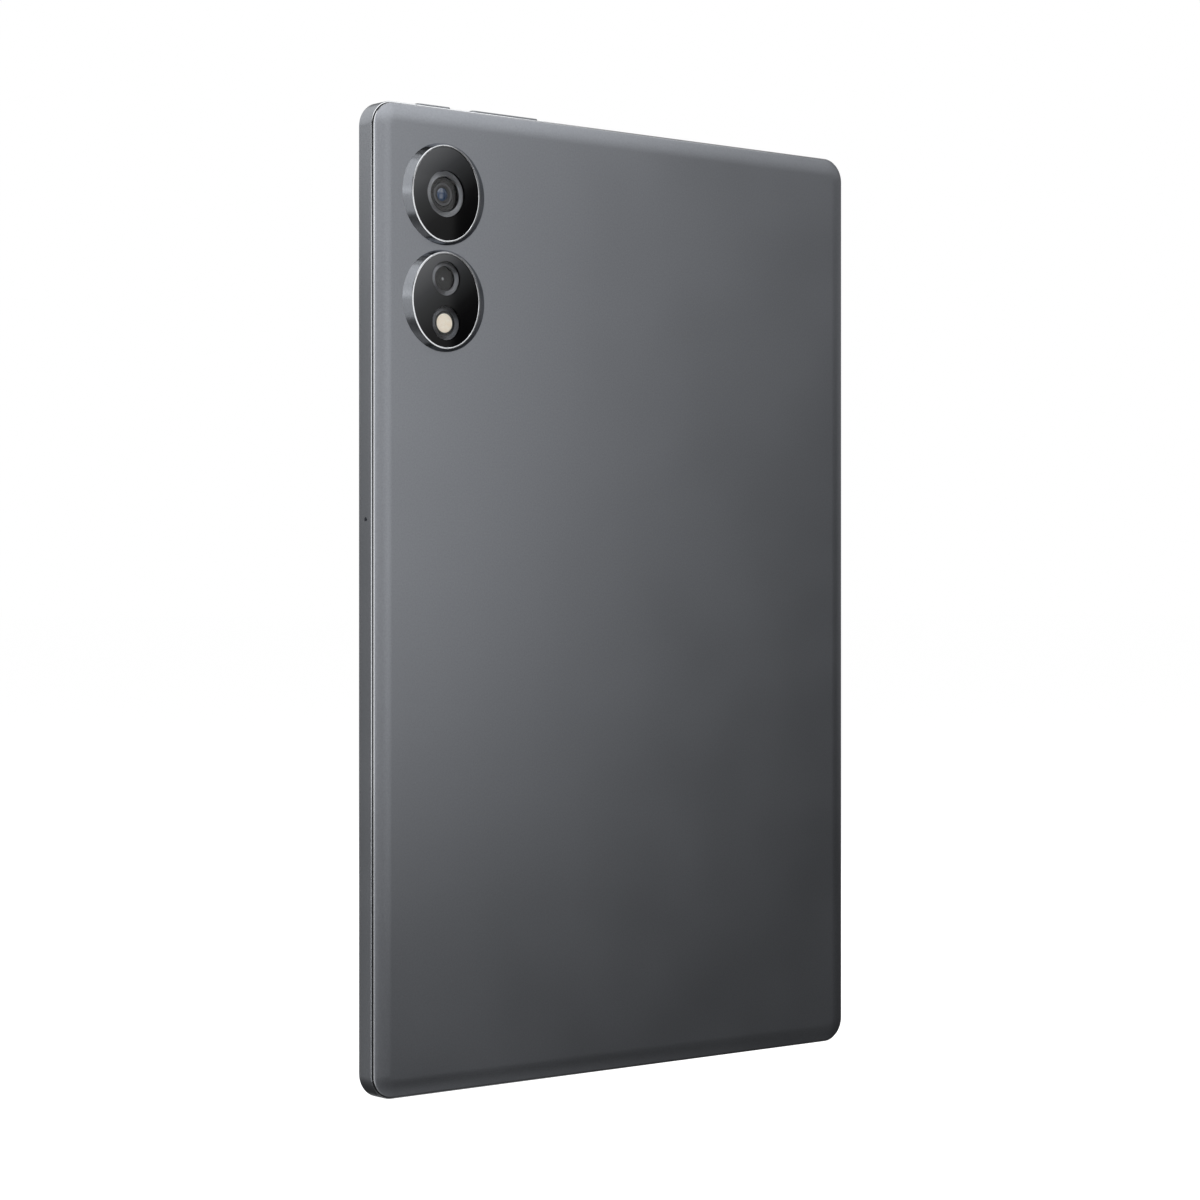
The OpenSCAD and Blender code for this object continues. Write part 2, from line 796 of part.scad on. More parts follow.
module flash_lens() {
    color(cream) placed() at_flash() {
        lens_cap(flash_r, mask_front, camera_glass_front - 0.3, 0.2);
        disc(small_trim_d / 2 - small_slope, mask_front, mask_front + 0.15);
    }
}

// The flash chip on a strip of board that is glued to the side of the second camera
module flash_led() {
    strip_rear = cover_inside - 0.4;
    color(gold) placed() at_flash() {
        box(-3, 3, -3, 2 * small_offset - second_half, strip_rear - 0.3, strip_rear);
        box(-1.1, 1.1, -1.1, 1.1, strip_rear, cover_inside + 0.3);
    }
}

module front_camera_module() {
    half = front_camera_size / 2;
    color(black) placed() translate([from_left(front_camera_left), 0, 0]) difference() {
        union() {
            box(-half, half, -half, half, front_ledge + 0.4, plate_rear + 1.2);
            disc(1.9, glass_t, front_ledge + 0.45);
        }
        disc(1.1, glass_t - cut, glass_t + 0.5);
    }
}

module front_camera_lens() {
    color("#1d3246") placed() translate([from_left(front_camera_left), 0, 0])
        rotate([180, 0, 0]) lens_cap(1.1, -glass_t - 0.5, -glass_t - 0.3, 0.2);
}

module light_sensor() {
    color(soft_black) placed() translate([from_left(front_camera_left), sensor_up, 0])
        box(-sensor_size[0] / 2, sensor_size[0] / 2, -sensor_size[1] / 2, sensor_size[1] / 2,
            front_ledge + 0.1, plate_rear - 0.3);
}

// ---- Boards ----------------------------------------------------------------------------------------

tongue_rim = 0.6;
usb_board_w = 58;
usb_board_top = lower_zone - 2;

module main_board() {
    color(board_green) placed() difference() {
        union() {
            box(from_left(board_left), from_right(board_right), from_top(board_top + board_d),
                from_top(board_top), board_front, board_rear);
            box(tray_u - reader_left - tongue_rim, tray_u + reader_right + tongue_rim,
                from_top(board_top + 1), from_top(reader_front), board_front, board_rear);
        }
        for (i = [0:3]) translate([screw_spots[i][0], screw_spots[i][1], 0])
            disc(screw_r + slack, board_front - cut, board_rear + cut);
    }
}

shield_t = 0.2;
shield_h = board_front - plate_rear - 0.3;

// A lidded can soldered to the board's front face, open towards the board
module shield_can(u0, u1, v0, v1) {
    difference() {
        box(u0, u1, v0, v1, board_front - shield_h, board_front);
        box(u0 + shield_t, u1 - shield_t, v0 + shield_t, v1 - shield_t,
            board_front - shield_h + shield_t, board_front + cut);
    }
}

shield_low = from_top(board_top + board_d - 8);
shield_high = from_top(board_top + 18);

module processor_shield() {
    left = from_left(board_left + 9);
    color(silver) placed() shield_can(left, -flex_slot_w / 2 - 2, shield_low, shield_high);
}

module power_shield() {
    right = tray_u - reader_left - 1;
    color(silver) placed() shield_can(flex_slot_w / 2 + 1, right, shield_low, shield_high);
}

link_u = 0;
link_w = 8;
link_depth = cover_inside - 0.35;
battery_lead_u = from_left(board_left + 20);
battery_lead_w = 6;
link_top_v = from_top(board_top + board_d - 3);
link_low_v = from_bottom(usb_board_top - 3);

module board_connectors() {
    socket = [3, board_rear, link_depth];
    color(black) placed() {
        for (v = [link_top_v, link_low_v])
            box(link_u - link_w / 2, link_u + link_w / 2, v - socket[0] / 2, v + socket[0] / 2,
                socket[1], socket[2]);
        box(battery_lead_u - battery_lead_w / 2, battery_lead_u + battery_lead_w / 2,
            link_top_v - socket[0] / 2, link_top_v + socket[0] / 2, socket[1], socket[2]);
        box(-flex_w / 2, flex_w / 2, from_top(flex_slot_top + 11), from_top(flex_slot_top + 8),
            board_front - connector_h, board_front);
    }
}

module board_link_flex() {
    color(amber) placed()
        box(link_u - link_w / 2, link_u + link_w / 2, link_low_v - 1.5, link_top_v + 1.5,
            link_depth, link_depth + flex_t);
}

module usb_board() {
    color(board_green) placed() difference() {
        box(-usb_board_w / 2, usb_board_w / 2, from_bottom(wall + 0.5),
            from_bottom(usb_board_top), board_front, board_rear);
        for (i = [4:7]) translate([screw_spots[i][0], screw_spots[i][1], 0])
            disc(screw_r + slack, board_front - cut, board_rear + cut);
    }
}

module usb_c_shell() {
    skin = 0.3;
    mouth = 0.15;
    back = usb_depth + mouth;
    color(steel) placed() on_bottom_edge(0, usb_mid) difference() {
        pill(usb_w, usb_h, -back, -mouth);
        pill(usb_w - 2 * skin, usb_h - 2 * skin, -back + 0.8, cut);
    }
}

module usb_c_tongue() {
    color(black) placed() on_bottom_edge(0, usb_mid)
        translate([-3.35, -0.35, -usb_depth - 0.15 + 0.8]) cube([6.7, 0.7, usb_depth - 1.8]);
}

module board_screws() {
    color(silver) placed() for (spot = screw_spots) translate([spot[0], spot[1], 0]) {
        disc(screw_r, board_front - 1.1, board_rear);
        difference() {
            disc(1.2, board_rear, board_rear + 0.5);
            for (angle = [0, 90]) rotate([0, 0, angle])
                box(-0.7, 0.7, -0.13, 0.13, board_rear + 0.3, board_rear + 0.5 + cut);
        }
    }
}

module heat_spreader() {
    color(soft_black) placed()
        box(from_left(board_left + 2), tray_u - tray_w / 2 - 4,
            from_top(board_top + board_d - 8), from_top(board_top + 9),
            cover_inside - 0.1, cover_inside);
}

// ---- Battery ---------------------------------------------------------------------------------------

battery_left = 9;
battery_top = board_top + board_d + battery_margin;
circuit_d = 5;
cell_top = from_top(battery_top + circuit_d);
cell_bottom = from_bottom(lower_zone + battery_margin);
tape_strip_t = 0.1;
cell_front = plate_rear + tape_strip_t;
cell_rear = link_depth - air;

module battery_cell(u0, u1) {
    seal = 0.6;
    box(u0 + seal, u1 - seal, cell_bottom, cell_top - seal, cell_front, cell_rear);
    box(u0, u1, cell_bottom + 1, cell_top, cell_front + 1, cell_front + 1.2);
}

module battery_left_cell() {
    color(battery_grey) placed() battery_cell(from_left(battery_left), -cell_gap / 2);
}
module battery_right_cell() {
    color(battery_grey) placed() battery_cell(cell_gap / 2, from_right(battery_left));
}

module battery_circuit_board() {
    color(board_green) placed()
        box(from_left(battery_left + 6), from_right(battery_left + 6), cell_top,
            cell_top + circuit_d - 0.5, cell_front + 0.6, cell_front + 1.4);
}

module battery_lead() {
    low = cell_front + 1.4;
    foot = cell_top + 2;
    color(amber) placed() {
        box(battery_lead_u - battery_lead_w / 2, battery_lead_u + battery_lead_w / 2, foot,
            foot + flex_t, low, link_depth + flex_t);
        box(battery_lead_u - battery_lead_w / 2, battery_lead_u + battery_lead_w / 2, foot,
            link_top_v + 1.5, link_depth, link_depth + flex_t);
    }
}

module battery_adhesive() {
    strip = 12;
    color(cream) placed() for (u = [from_left(battery_left + 8), -strip - 6, 6,
                                    from_right(battery_left + 8 + strip)])
        box(u, u + strip, cell_bottom + 8, cell_top - 8, plate_rear, cell_front);
}

// ---- Sound and radio -------------------------------------------------------------------------------

nozzle_rear = rear_ledge - 0.2;

// A closed sound box with a nozzle that meets the grille; edge is 1 at the top, -1 below
module speaker(u, edge) {
    near = wall + mesh_t;
    step = wall + nozzle_d;
    port = grille_span + 1.5;
    half = speaker_l / 2;
    nozzle = grille_span / 2 + 1.8;
    translate([u, 0, 0]) at_edge(edge) difference() {
        union() {
            box(-half, half, from_top(speaker_d + wall), from_top(step), plate_rear,
                cover_inside - 0.2);
            box(-nozzle, nozzle, from_top(step + air), from_top(near), nozzle_front,
                nozzle_rear);
        }
        box(-port / 2, port / 2, from_top(near + 3), from_top(near - cut), side_line - 0.7,
            side_line + 0.7);
    }
}

module speaker_top_left() { color(black) placed() speaker(speaker_top_left_u, 1); }
module speaker_top_right() { color(black) placed() speaker(speaker_end_u, 1); }
module speaker_bottom_left() { color(black) placed() speaker(-speaker_end_u, -1); }
module speaker_bottom_right() { color(black) placed() speaker(speaker_end_u, -1); }

module speaker_meshes() {
    length = grille_span + 2.6;
    color(soft_black) placed() {
        for (u = [speaker_top_left_u, speaker_end_u])
            on_top_edge(u, side_line) pill(length, 2, -wall - mesh_t, -wall);
        for (u = [-speaker_end_u, speaker_end_u])
            on_bottom_edge(u, side_line) pill(length, 2, -wall - mesh_t, -wall);
    }
}

boot_t = 0.9;

module microphone_boot() {
    color(soft_black) placed() on_left_edge(mic_up, side_line) difference() {
        translate([-1.3, -2.2, -wall - boot_t]) cube([2.6, 4.4, boot_t]);
        disc(0.5, -wall - boot_t - cut, -wall + cut);
    }
}

module microphone() {
    color(gold) placed() on_left_edge(mic_up, side_line)
        translate([-1.3, -1.75, -wall - boot_t - 1]) cube([2.6, 3.5, 1]);
}

// Radio lead along the battery's right side, from the main board to the lower board
module antenna_coax() {
    r = 0.45;
    bend = 3;
    lane_u = from_right(5.5);
    lead_w = plate_rear + 0.6;
    high = from_top(board_top + board_d - 14);
    low = from_bottom(lower_zone - 4);
    board_reach = from_right(board_right + 6);
    low_reach = usb_board_w / 2 - 2;
    color(soft_black) placed() translate([0, 0, lead_w]) {
        translate([lane_u, low + bend, 0]) rotate([-90, 0, 0])
            cylinder(r = r, h = high - low - 2 * bend);
        translate([lane_u - bend, high - bend, 0]) rotate_extrude(angle = 90)
            translate([bend, 0]) circle(r = r);
        translate([lane_u - bend, low + bend, 0]) rotate([0, 0, -90]) rotate_extrude(angle = 90)
            translate([bend, 0]) circle(r = r);
        translate([board_reach, high, 0]) rotate([0, 90, 0])
            cylinder(r = r, h = lane_u - bend - board_reach);
        translate([low_reach, low, 0]) rotate([0, 90, 0])
            cylinder(r = r, h = lane_u - bend - low_reach);
        for (spot = [[board_reach, high], [low_reach, low]]) translate([spot[0], spot[1], 0])
            disc(1.1, -r, board_front - lead_w);
    }
}

// ---- Nodes -----------------------------------------------------------------------------------------

mid_frame();
rear_cover();
rear_cover_gasket();
cover_glass();
screen_adhesive();
lcd_panel();
backlight_unit();
display_flex();
power_key();
volume_key();
side_key_domes();
side_key_flex();
side_key_bracket();
card_tray();
card_reader();
ejector_rod();
ejector_lever();
ejector_pivot();
main_camera_ring();
main_camera_glass();
main_camera_mask();
main_lens_trim();
main_camera_module();
main_lens_barrel();
main_front_lens();
second_camera_ring();
second_camera_glass();
second_camera_mask();
second_lens_trim();
second_camera_module();
second_front_lens();
flash_trim();
flash_lens();
flash_led();
front_camera_module();
front_camera_lens();
light_sensor();
main_board();
processor_shield();
power_shield();
board_connectors();
battery_left_cell();
battery_right_cell();
battery_circuit_board();
battery_lead();
battery_adhesive();
usb_board();
usb_c_shell();
usb_c_tongue();
board_link_flex();
speaker_top_left();
speaker_top_right();
speaker_bottom_left();
speaker_bottom_right();
speaker_meshes();
microphone();
microphone_boot();
antenna_coax();
heat_spreader();
board_screws();
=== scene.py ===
# %% [markdown]
# # A tablet computer, seen from behind
# The real thing is a thin aluminium tray, a pressed aluminium back, a sheet of glass and a
# stack of electronics between them. The stack is already modelled as exact solids, so this
# lesson only gives the outside its finish: it rebuilds what the eye meets, edge by edge, and
# gives every surface a material. Lengths are in metres, +Z is up and +Y comes out of the back.

# %% Load the exact model
import bmesh
import bpy
from math import asin, cos, pi, radians, sin
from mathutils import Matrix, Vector


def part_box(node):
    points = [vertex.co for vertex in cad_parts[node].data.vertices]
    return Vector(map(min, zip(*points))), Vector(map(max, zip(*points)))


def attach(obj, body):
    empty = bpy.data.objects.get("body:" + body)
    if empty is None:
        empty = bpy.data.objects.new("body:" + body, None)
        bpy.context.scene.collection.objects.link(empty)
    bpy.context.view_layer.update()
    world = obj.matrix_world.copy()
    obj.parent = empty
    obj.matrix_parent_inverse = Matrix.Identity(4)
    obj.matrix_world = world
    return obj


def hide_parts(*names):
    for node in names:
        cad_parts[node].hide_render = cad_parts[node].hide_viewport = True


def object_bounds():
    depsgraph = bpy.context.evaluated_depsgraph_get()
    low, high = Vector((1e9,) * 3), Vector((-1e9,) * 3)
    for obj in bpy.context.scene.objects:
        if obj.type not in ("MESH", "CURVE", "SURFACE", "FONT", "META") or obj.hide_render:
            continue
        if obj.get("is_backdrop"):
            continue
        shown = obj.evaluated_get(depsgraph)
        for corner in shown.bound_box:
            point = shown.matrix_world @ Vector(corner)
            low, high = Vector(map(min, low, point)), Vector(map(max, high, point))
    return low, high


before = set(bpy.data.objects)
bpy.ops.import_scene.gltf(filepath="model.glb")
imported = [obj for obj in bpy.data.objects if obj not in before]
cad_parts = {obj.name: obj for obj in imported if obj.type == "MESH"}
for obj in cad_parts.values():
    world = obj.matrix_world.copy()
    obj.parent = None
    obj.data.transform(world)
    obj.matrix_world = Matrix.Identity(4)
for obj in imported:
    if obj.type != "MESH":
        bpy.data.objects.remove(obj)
cad_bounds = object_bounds()
MM = 0.001

# %% [markdown]
# Places come from the exact model, so that every new piece lands where its solid is. `box`
# gives the lowest and highest corner of a solid, and the few sizes that a box can't tell, such
# as a corner radius or a wall, are named here. CUT is how far a cutting tool overshoots, and
# ROUND is the number of sides of a round part.

# %% Read the sizes that everything else follows
def middle(node):
    """The middle of a solid's box, as x, y and z."""
    return [(a + b) / 2 for a, b in zip(*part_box(node))]


def hub_of(node):
    """Where the axis of a round solid meets its rear face, and its radius."""
    low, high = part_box(node)
    x, _, z = middle(node)
    return Vector((x, high.y, z)), (high.x - low.x) / 2


frame_low, frame_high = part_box("mid_frame")
cover_low, cover_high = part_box("rear_cover")
glass_low, glass_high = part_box("cover_glass")
cell_low, cell_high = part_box("lcd_panel")
middle_z = middle("mid_frame")[2]
side_line = middle("power_key")[1]
plate_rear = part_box("battery_adhesive")[0].y
front_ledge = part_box("screen_adhesive")[1].y
rear_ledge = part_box("rear_cover_gasket")[0].y

CORNER = 6.5 * MM
WALL = 2 * MM
PLATE = 0.55 * MM
RIM_CHAMFER = 0.25 * MM
FRONT_CHAMFER = 0.3 * MM
RIM_LAND = 0.05 * MM
LIP = 0.75 * MM
SLACK = 0.1 * MM
CUT = 0.5 * MM
ROUND = 96
print("frame", [round(v / MM, 2) for v in frame_high - frame_low], "mm")

# %% [markdown]
# ## Small helpers
# Blender's operators act on whatever is selected, so each helper starts from nothing selected.
# Faces and edges are picked by a test on their place or their normal, which does by rule what
# a hand does with the mouse.

# %% Selecting
def only(piece):
    bpy.ops.object.select_all(action="DESELECT")
    piece.select_set(True)
    bpy.context.view_layer.objects.active = piece


def named(name):
    piece = bpy.context.object
    piece.name = name
    only(piece)
    bpy.ops.object.transform_apply(location=True, rotation=True, scale=True)
    return piece


def edit(piece):
    only(piece)
    bpy.ops.object.mode_set(mode="EDIT")


def leave():
    bpy.ops.object.mode_set(mode="OBJECT")


def pick(piece, kind, test):
    bpy.ops.mesh.select_all(action="DESELECT")
    bpy.ops.mesh.select_mode(type=kind)
    mesh = bmesh.from_edit_mesh(piece.data)
    group = {"VERT": mesh.verts, "EDGE": mesh.edges, "FACE": mesh.faces}[kind]
    chosen = [e for e in group if test(e)]
    for e in chosen:
        e.select_set(True)
    bmesh.update_edit_mesh(piece.data)
    return len(chosen)


def centre(element):
    verts = element.verts
    return sum((v.co for v in verts), Vector()) / len(verts)


def near(a, b, within=0.01 * MM):
    return abs(a - b) < within


def off_axis(point, hub):
    """How far a point is from the line along Y through a hub."""
    return Vector((point.x - hub.x, 0, point.z - hub.z)).length


def bevel_rim(piece, axis, at, width, segments, clamp=False):
    """In edit mode, bevels the edges that lie wholly at one place along an axis."""
    pick(piece, "EDGE", lambda e: all(near(getattr(v.co, axis), at) for v in e.verts))
    bpy.ops.mesh.bevel(offset=width, segments=segments, affect="EDGES", clamp_overlap=clamp)


def push(depth):
    """In edit mode, extrudes what is selected along Y."""
    bpy.ops.mesh.extrude_region_move(TRANSFORM_OT_translate={"value": (0, depth, 0)})


# %% Starting shapes
def block(name, low, high):
    """A plain block, to start from or to cut with."""
    bpy.ops.object.select_all(action="DESELECT")
    bpy.ops.mesh.primitive_cube_add(size=1, location=(low + high) / 2, scale=high - low)
    return named(name)


def rounded_slab(name, low, high, corner, segments=20):
    """A block whose four corners, seen along Y, are round."""
    slab = block(name, low, high)
    edit(slab)
    pick(slab, "EDGE", lambda e: near(abs(e.verts[0].co.y - e.verts[1].co.y), high.y - low.y))
    bpy.ops.mesh.bevel(offset=corner, segments=segments, affect="EDGES", clamp_overlap=False)
    leave()
    return slab


def round_bar(name, x, y, z_low, z_high, length, height, vertices=48):
    """A bar along Z whose outline is a slot: a cylinder whose right half is drawn out along X."""
    left = x - (length - height) / 2
    bpy.ops.object.select_all(action="DESELECT")
    bpy.ops.mesh.primitive_cylinder_add(
        vertices=vertices, radius=height / 2, depth=z_high - z_low,
        location=(left, y, (z_low + z_high) / 2), rotation=(0, 0, pi / vertices))
    bar = named(name)
    edit(bar)
    pick(bar, "VERT", lambda v: v.co.x > left)
    bpy.ops.transform.translate(value=(length - height, 0, 0))
    leave()
    return bar


def rod(name, place, radius, depth, axis="Y", vertices=ROUND):
    """A cylinder along one axis."""
    turn = {"X": (0, pi / 2, 0), "Y": (pi / 2, 0, 0), "Z": (0, 0, 0)}[axis]
    bpy.ops.object.select_all(action="DESELECT")
    bpy.ops.mesh.primitive_cylinder_add(vertices=vertices, radius=radius, depth=depth,
                                        location=place, rotation=turn)
    return named(name)

# %% Joining, cutting and smoothing
def joined(pieces):
    bpy.ops.object.select_all(action="DESELECT")
    for piece in pieces:
        piece.select_set(True)
    bpy.context.view_layer.objects.active = pieces[0]
    if len(pieces) > 1:
        bpy.ops.object.join()
    return pieces[0]


def combine(piece, tools, how="DIFFERENCE"):
    """Cuts the tools out of a piece, or welds them to it."""
    tool = joined(tools)
    only(piece)
    step = piece.modifiers.new("combine", "BOOLEAN")
    step.object = tool
    step.operation = how
    step.solver = "EXACT"
    step.use_self = True
    bpy.ops.object.modifier_apply(modifier=step.name)
    bpy.data.objects.remove(tool)
    return piece


def smooth(piece, angle=35, weighted=True):
    """Round where faces meet gently, crisp where they don't; wide faces keep their own normal."""
    only(piece)
    bpy.ops.object.shade_smooth_by_angle(angle=radians(angle))
    if weighted:
        step = piece.modifiers.new("weighted", "WEIGHTED_NORMAL")
        step.keep_sharp = True
        bpy.ops.object.modifier_apply(modifier=step.name)


# %% Painting and placing
FIT_LIMIT = 0.25 * MM


def paint(piece, materials, rules=()):
    """Gives a piece its materials; each rule sends the faces that pass its test to one of them."""
    piece.data.materials.clear()
    for material in materials:
        piece.data.materials.append(material)
    for face in piece.data.polygons:
        face.material_index = 0
        for index, test in rules:
            if test(face):
                face.material_index = index


def place(piece, body, slot, node):
    """The piece stands for this solid, moves with its body and fills its box."""
    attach(piece, body)
    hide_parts(node)
    low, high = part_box(node)
    used = {i for face in piece.data.polygons for i in face.vertices}
    points = [piece.data.vertices[i].co for i in used]
    if not points:
        raise RuntimeError(piece.name + " has no faces")
    gaps = []
    for i in range(3):
        along = [point[i] for point in points]
        gaps += [abs(min(along) - low[i]), abs(max(along) - high[i])]
    off = max(gaps)
    print(piece.name, len(piece.data.polygons), "faces,", round(off / MM, 3), "mm off its solid")
    if off > FIT_LIMIT:
        raise RuntimeError(piece.name + " doesn't fill the box of its solid")


# %% [markdown]
# ## Finishes
# Each material starts from what the real surface is and how it was made. Colours are written
# as the sRGB hex values that a paint chart would give and turned to linear light by one
# function. Patterns are scaled from real sizes in millimetres, on Object coordinates, which
# are metres here: a grain of 0.4 mm is a noise of scale 1 / 0.0004.

# %% Colour and node helpers
def linear(code, alpha=1.0):
    channels = [int(code[i:i + 2], 16) / 255 for i in (1, 3, 5)]
    light = [c / 12.92 if c <= 0.04045 else ((c + 0.055) / 1.055) ** 2.4 for c in channels]
    return (*light, alpha)


def add(tree, kind, inputs, **settings):
    """Adds a node: settings are its own, inputs are values or sockets to link."""
    made = tree.nodes.new("ShaderNode" + kind)
    for name, value in settings.items():
        setattr(made, name, value)
    for name, value in inputs.items():
        if isinstance(value, bpy.types.NodeSocket):
            tree.links.new(value, made.inputs[name])
        else:
            made.inputs[name].default_value = value
    return made


def finish(name, colour, **values):
    """A new material: its tree, its shader and its Object coordinates."""
    material = bpy.data.materials.new(name)
    material.use_nodes = True
    tree = material.node_tree
    shader = tree.nodes["Principled BSDF"]
    shader.inputs["Base Color"].default_value = linear(colour)
    for key, value in values.items():
        shader.inputs[key.replace("_", " ")].default_value = value
    coordinates = add(tree, "TexCoord", {}).outputs["Object"]
    return material, tree, shader, coordinates


def grain(tree, coordinates, size, detail=2.0):
    """Noise whose specks are about this size, in metres."""
    return add(tree, "TexNoise", {"Vector": coordinates, "Scale": 1 / size, "Detail": detail,
                                  "Roughness": 0.55}).outputs["Fac"]


def ranged(tree, value, low, high):
    """Spreads a value between 0.3 and 0.7 over a range."""
    return add(tree, "MapRange", {"Value": value, "From Min": 0.3, "From Max": 0.7,
                                  "To Min": low, "To Max": high}).outputs["Result"]


def bumped(tree, shader, height, depth, strength=1.0):
    """Raises the surface by up to a real depth, in metres."""
    bump = add(tree, "Bump", {"Height": height, "Distance": depth, "Strength": strength})
    tree.links.new(bump.outputs["Normal"], shader.inputs["Normal"])


def two_tone(tree, shader, value, dark, light):
    """Colours the surface between two near tones."""
    mixed = add(tree, "Mix", {"Factor": value, "A": linear(dark), "B": linear(light)},
                data_type="RGBA")
    tree.links.new(mixed.outputs["Result"], shader.inputs["Base Color"])


# %% [markdown]
# ### Sandblasted, anodised aluminium
# Glass beads blasted at the sheet leave a fine frost that anodising then seals and tints grey.
# The frost spreads each highlight into a soft glow and sparkles slightly. The beads are about
# 0.1 mm, too fine to show at this distance, so the grain is drawn at 0.45 mm. The same two
# finishes, frosted and polished, serve for other metals in their own tones.

# %% Metals
BEAD = 0.45 * MM
BEAD_DEPTH = 0.012 * MM
SHEEN_PATCH = 30 * MM
STREAK = 0.8 * MM


def blasted_metal(name, dark, light, roughness):
    """Frosted metal whose gloss wanders a little from place to place."""
    material, tree, shader, coordinates = finish(name, dark, Metallic=1.0, Roughness=roughness)
    specks = grain(tree, coordinates, BEAD, 3.0)
    clouds = grain(tree, coordinates, SHEEN_PATCH, 1.0)
    two_tone(tree, shader, ranged(tree, specks, 0.0, 1.0), dark, light)
    rough = ranged(tree, clouds, roughness - 0.015, roughness + 0.015)
    tree.links.new(rough, shader.inputs["Roughness"])
    bumped(tree, shader, specks, BEAD_DEPTH, 0.5)
    return material


def polished_metal(name, colour, roughness):
    """Bare smooth metal, nearly a mirror, such as a diamond tool leaves when it cuts."""
    material, tree, shader, coordinates = finish(name, colour, Metallic=1.0, Roughness=roughness)
    streaks = grain(tree, coordinates, STREAK)
    tree.links.new(ranged(tree, streaks, roughness - 0.03, roughness + 0.03),
                   shader.inputs["Roughness"])
    return material


back_metal = blasted_metal("sandblasted_anodised_aluminium_back", "#9c9fa5", "#a5a8ae", 0.40)
frame_metal = blasted_metal("sandblasted_anodised_aluminium_frame", "#9b9ea3", "#a3a6ab", 0.36)
ring_metal = blasted_metal("sandblasted_anodised_aluminium_ring", "#84878c", "#8c8f94", 0.19)
cut_metal = polished_metal("diamond_cut_aluminium", "#e2e4e7", 0.16)

# %% [markdown]
# ### Glass, print and lenses
# The camera windows and the screen are chemically hardened glass with black ink printed on the
# inside. Ink under glass is a deep black with a sharp reflection, so one opaque, glossy
# material stands for it on the screen. On the camera windows the ink also carries a painted
# reflection: a grey sheen painted into its colour, lighter towards one corner. Where the ink
# leaves a clear circle the glass itself is modelled.

# %% Glass
SMEAR = 22 * MM
# Where the painted reflection on the camera ink starts and ends, in metres, and how far it leans
# sideways.
REFLECTION_FADE_FROM, REFLECTION_FADE_TO, REFLECTION_FADE_LEAN = -13 * MM, 14 * MM, 0.75


def smeared(name, colour, **values):
    """Glossy glass over something dark, with the faint smears that a cloth leaves."""
    material, tree, shader, coordinates = finish(name, colour, IOR=1.5, **values)
    smears = grain(tree, coordinates, SMEAR, 1.5)
    low = values["Roughness"]
    tree.links.new(ranged(tree, smears, low, low + 0.03), shader.inputs["Roughness"])
    return material


printed_glass = smeared("black_printed_glass", "#070708", Roughness=0.03)
unlit_screen = smeared("unlit_display_under_glass", "#0b0b0e", Roughness=0.04)


def thin_clear_glass(name):
    """Coated thin glass lets through all but the share it mirrors: 1% head on, more at a slant.

    The mirrored share is Schlick's formula, F = 0.01 + 0.99 (1 - cos)^5, used as the opacity of
    a white mirror, so that lamps still light what lies behind the glass."""
    material, tree, shader, _ = finish(name, "#ffffff", Metallic=1.0, Roughness=0.02)
    slant = add(tree, "LayerWeight", {"Blend": 0.5}).outputs["Facing"]
    fifth = add(tree, "Math", {0: slant, 1: 5}, operation="POWER")
    share = add(tree, "MapRange", {"Value": fifth.outputs[0], "To Min": 0.01, "To Max": 1.0})
    tree.links.new(share.outputs["Result"], shader.inputs["Alpha"])
    return material


clear_glass = thin_clear_glass("thin_clear_window_glass")


def ink_with_painted_reflection(name, hub):
    """Ink under camera glass, with a painted reflection: a grey sheen painted into its colour,
    lighter towards one corner and fading to black.
    """
    material, tree, shader, coordinates = finish(name, "#0a0a0b", IOR=1.5, Roughness=0.04,
                                                 Specular_IOR_Level=0.12)
    placed = add(tree, "Mapping", {"Vector": coordinates, "Location": -hub}).outputs["Vector"]
    split = add(tree, "SeparateXYZ", {"Vector": placed})
    sideways = add(tree, "Math", {0: split.outputs["X"], 1: REFLECTION_FADE_LEAN}, operation="MULTIPLY")
    fade = add(tree, "Math", {0: sideways.outputs[0], 1: split.outputs["Z"]}, operation="ADD")
    along = add(tree, "MapRange", {"Value": fade.outputs[0], "From Min": REFLECTION_FADE_FROM,
                                   "From Max": REFLECTION_FADE_TO})
    ramp = add(tree, "ValToRGB", {"Fac": along.outputs["Result"]})
    # Painted reflection: near black at one corner, rising to a light grey sheen at the other.
    steps = [(0.0, "#060607"), (0.2, "#0b0b0c"), (0.32, "#131314"), (0.6, "#323334"),
             (0.72, "#3e3f41"), (1.0, "#626365")]
    for position, colour in steps[1:-1]:
        ramp.color_ramp.elements.new(position).color = linear(colour)
    ramp.color_ramp.elements[0].color = linear(steps[0][1])
    ramp.color_ramp.elements[-1].color = linear(steps[-1][1])
    tree.links.new(ramp.outputs["Color"], shader.inputs["Base Color"])
    return material


def coated_lens(name, face, rim, roughness):
    """A lens whose colour goes from one tone in the middle to another at the rim, by the angle at
    which it is seen.
    """
    material, tree, shader, _ = finish(name, face, IOR=1.9, Roughness=roughness)
    slant = add(tree, "LayerWeight", {"Blend": 0.35}).outputs["Facing"]
    two_tone(tree, shader, slant, face, rim)
    return material


front_element = coated_lens("coated_camera_lens", "#14365a", "#04060a", 0.11)
# Painted highlight: the small lens is light grey in the middle for the glint at its centre, and
# dark at the rim.
small_lens_painted_highlight = coated_lens("painted_highlight_small_lens", "#b4b6ba", "#3c3d40", 0.08)

# %% [markdown]
# ### Plastics, rubber and turned metal
# Moulded plastic carries the fine spark-eroded frost of its steel mould. Turned rings carry
# the grooves of the lathe, which run round the lens, so their pattern is centred on it. A wave
# texture of scale 0.314 / d repeats every d metres.

# %% Plastic, rubber and turned metal
FROST_DEPTH = 0.01 * MM
GROOVE = 0.24 * MM
GROOVE_BUMP = 0.02 * MM
WAVE = 0.314


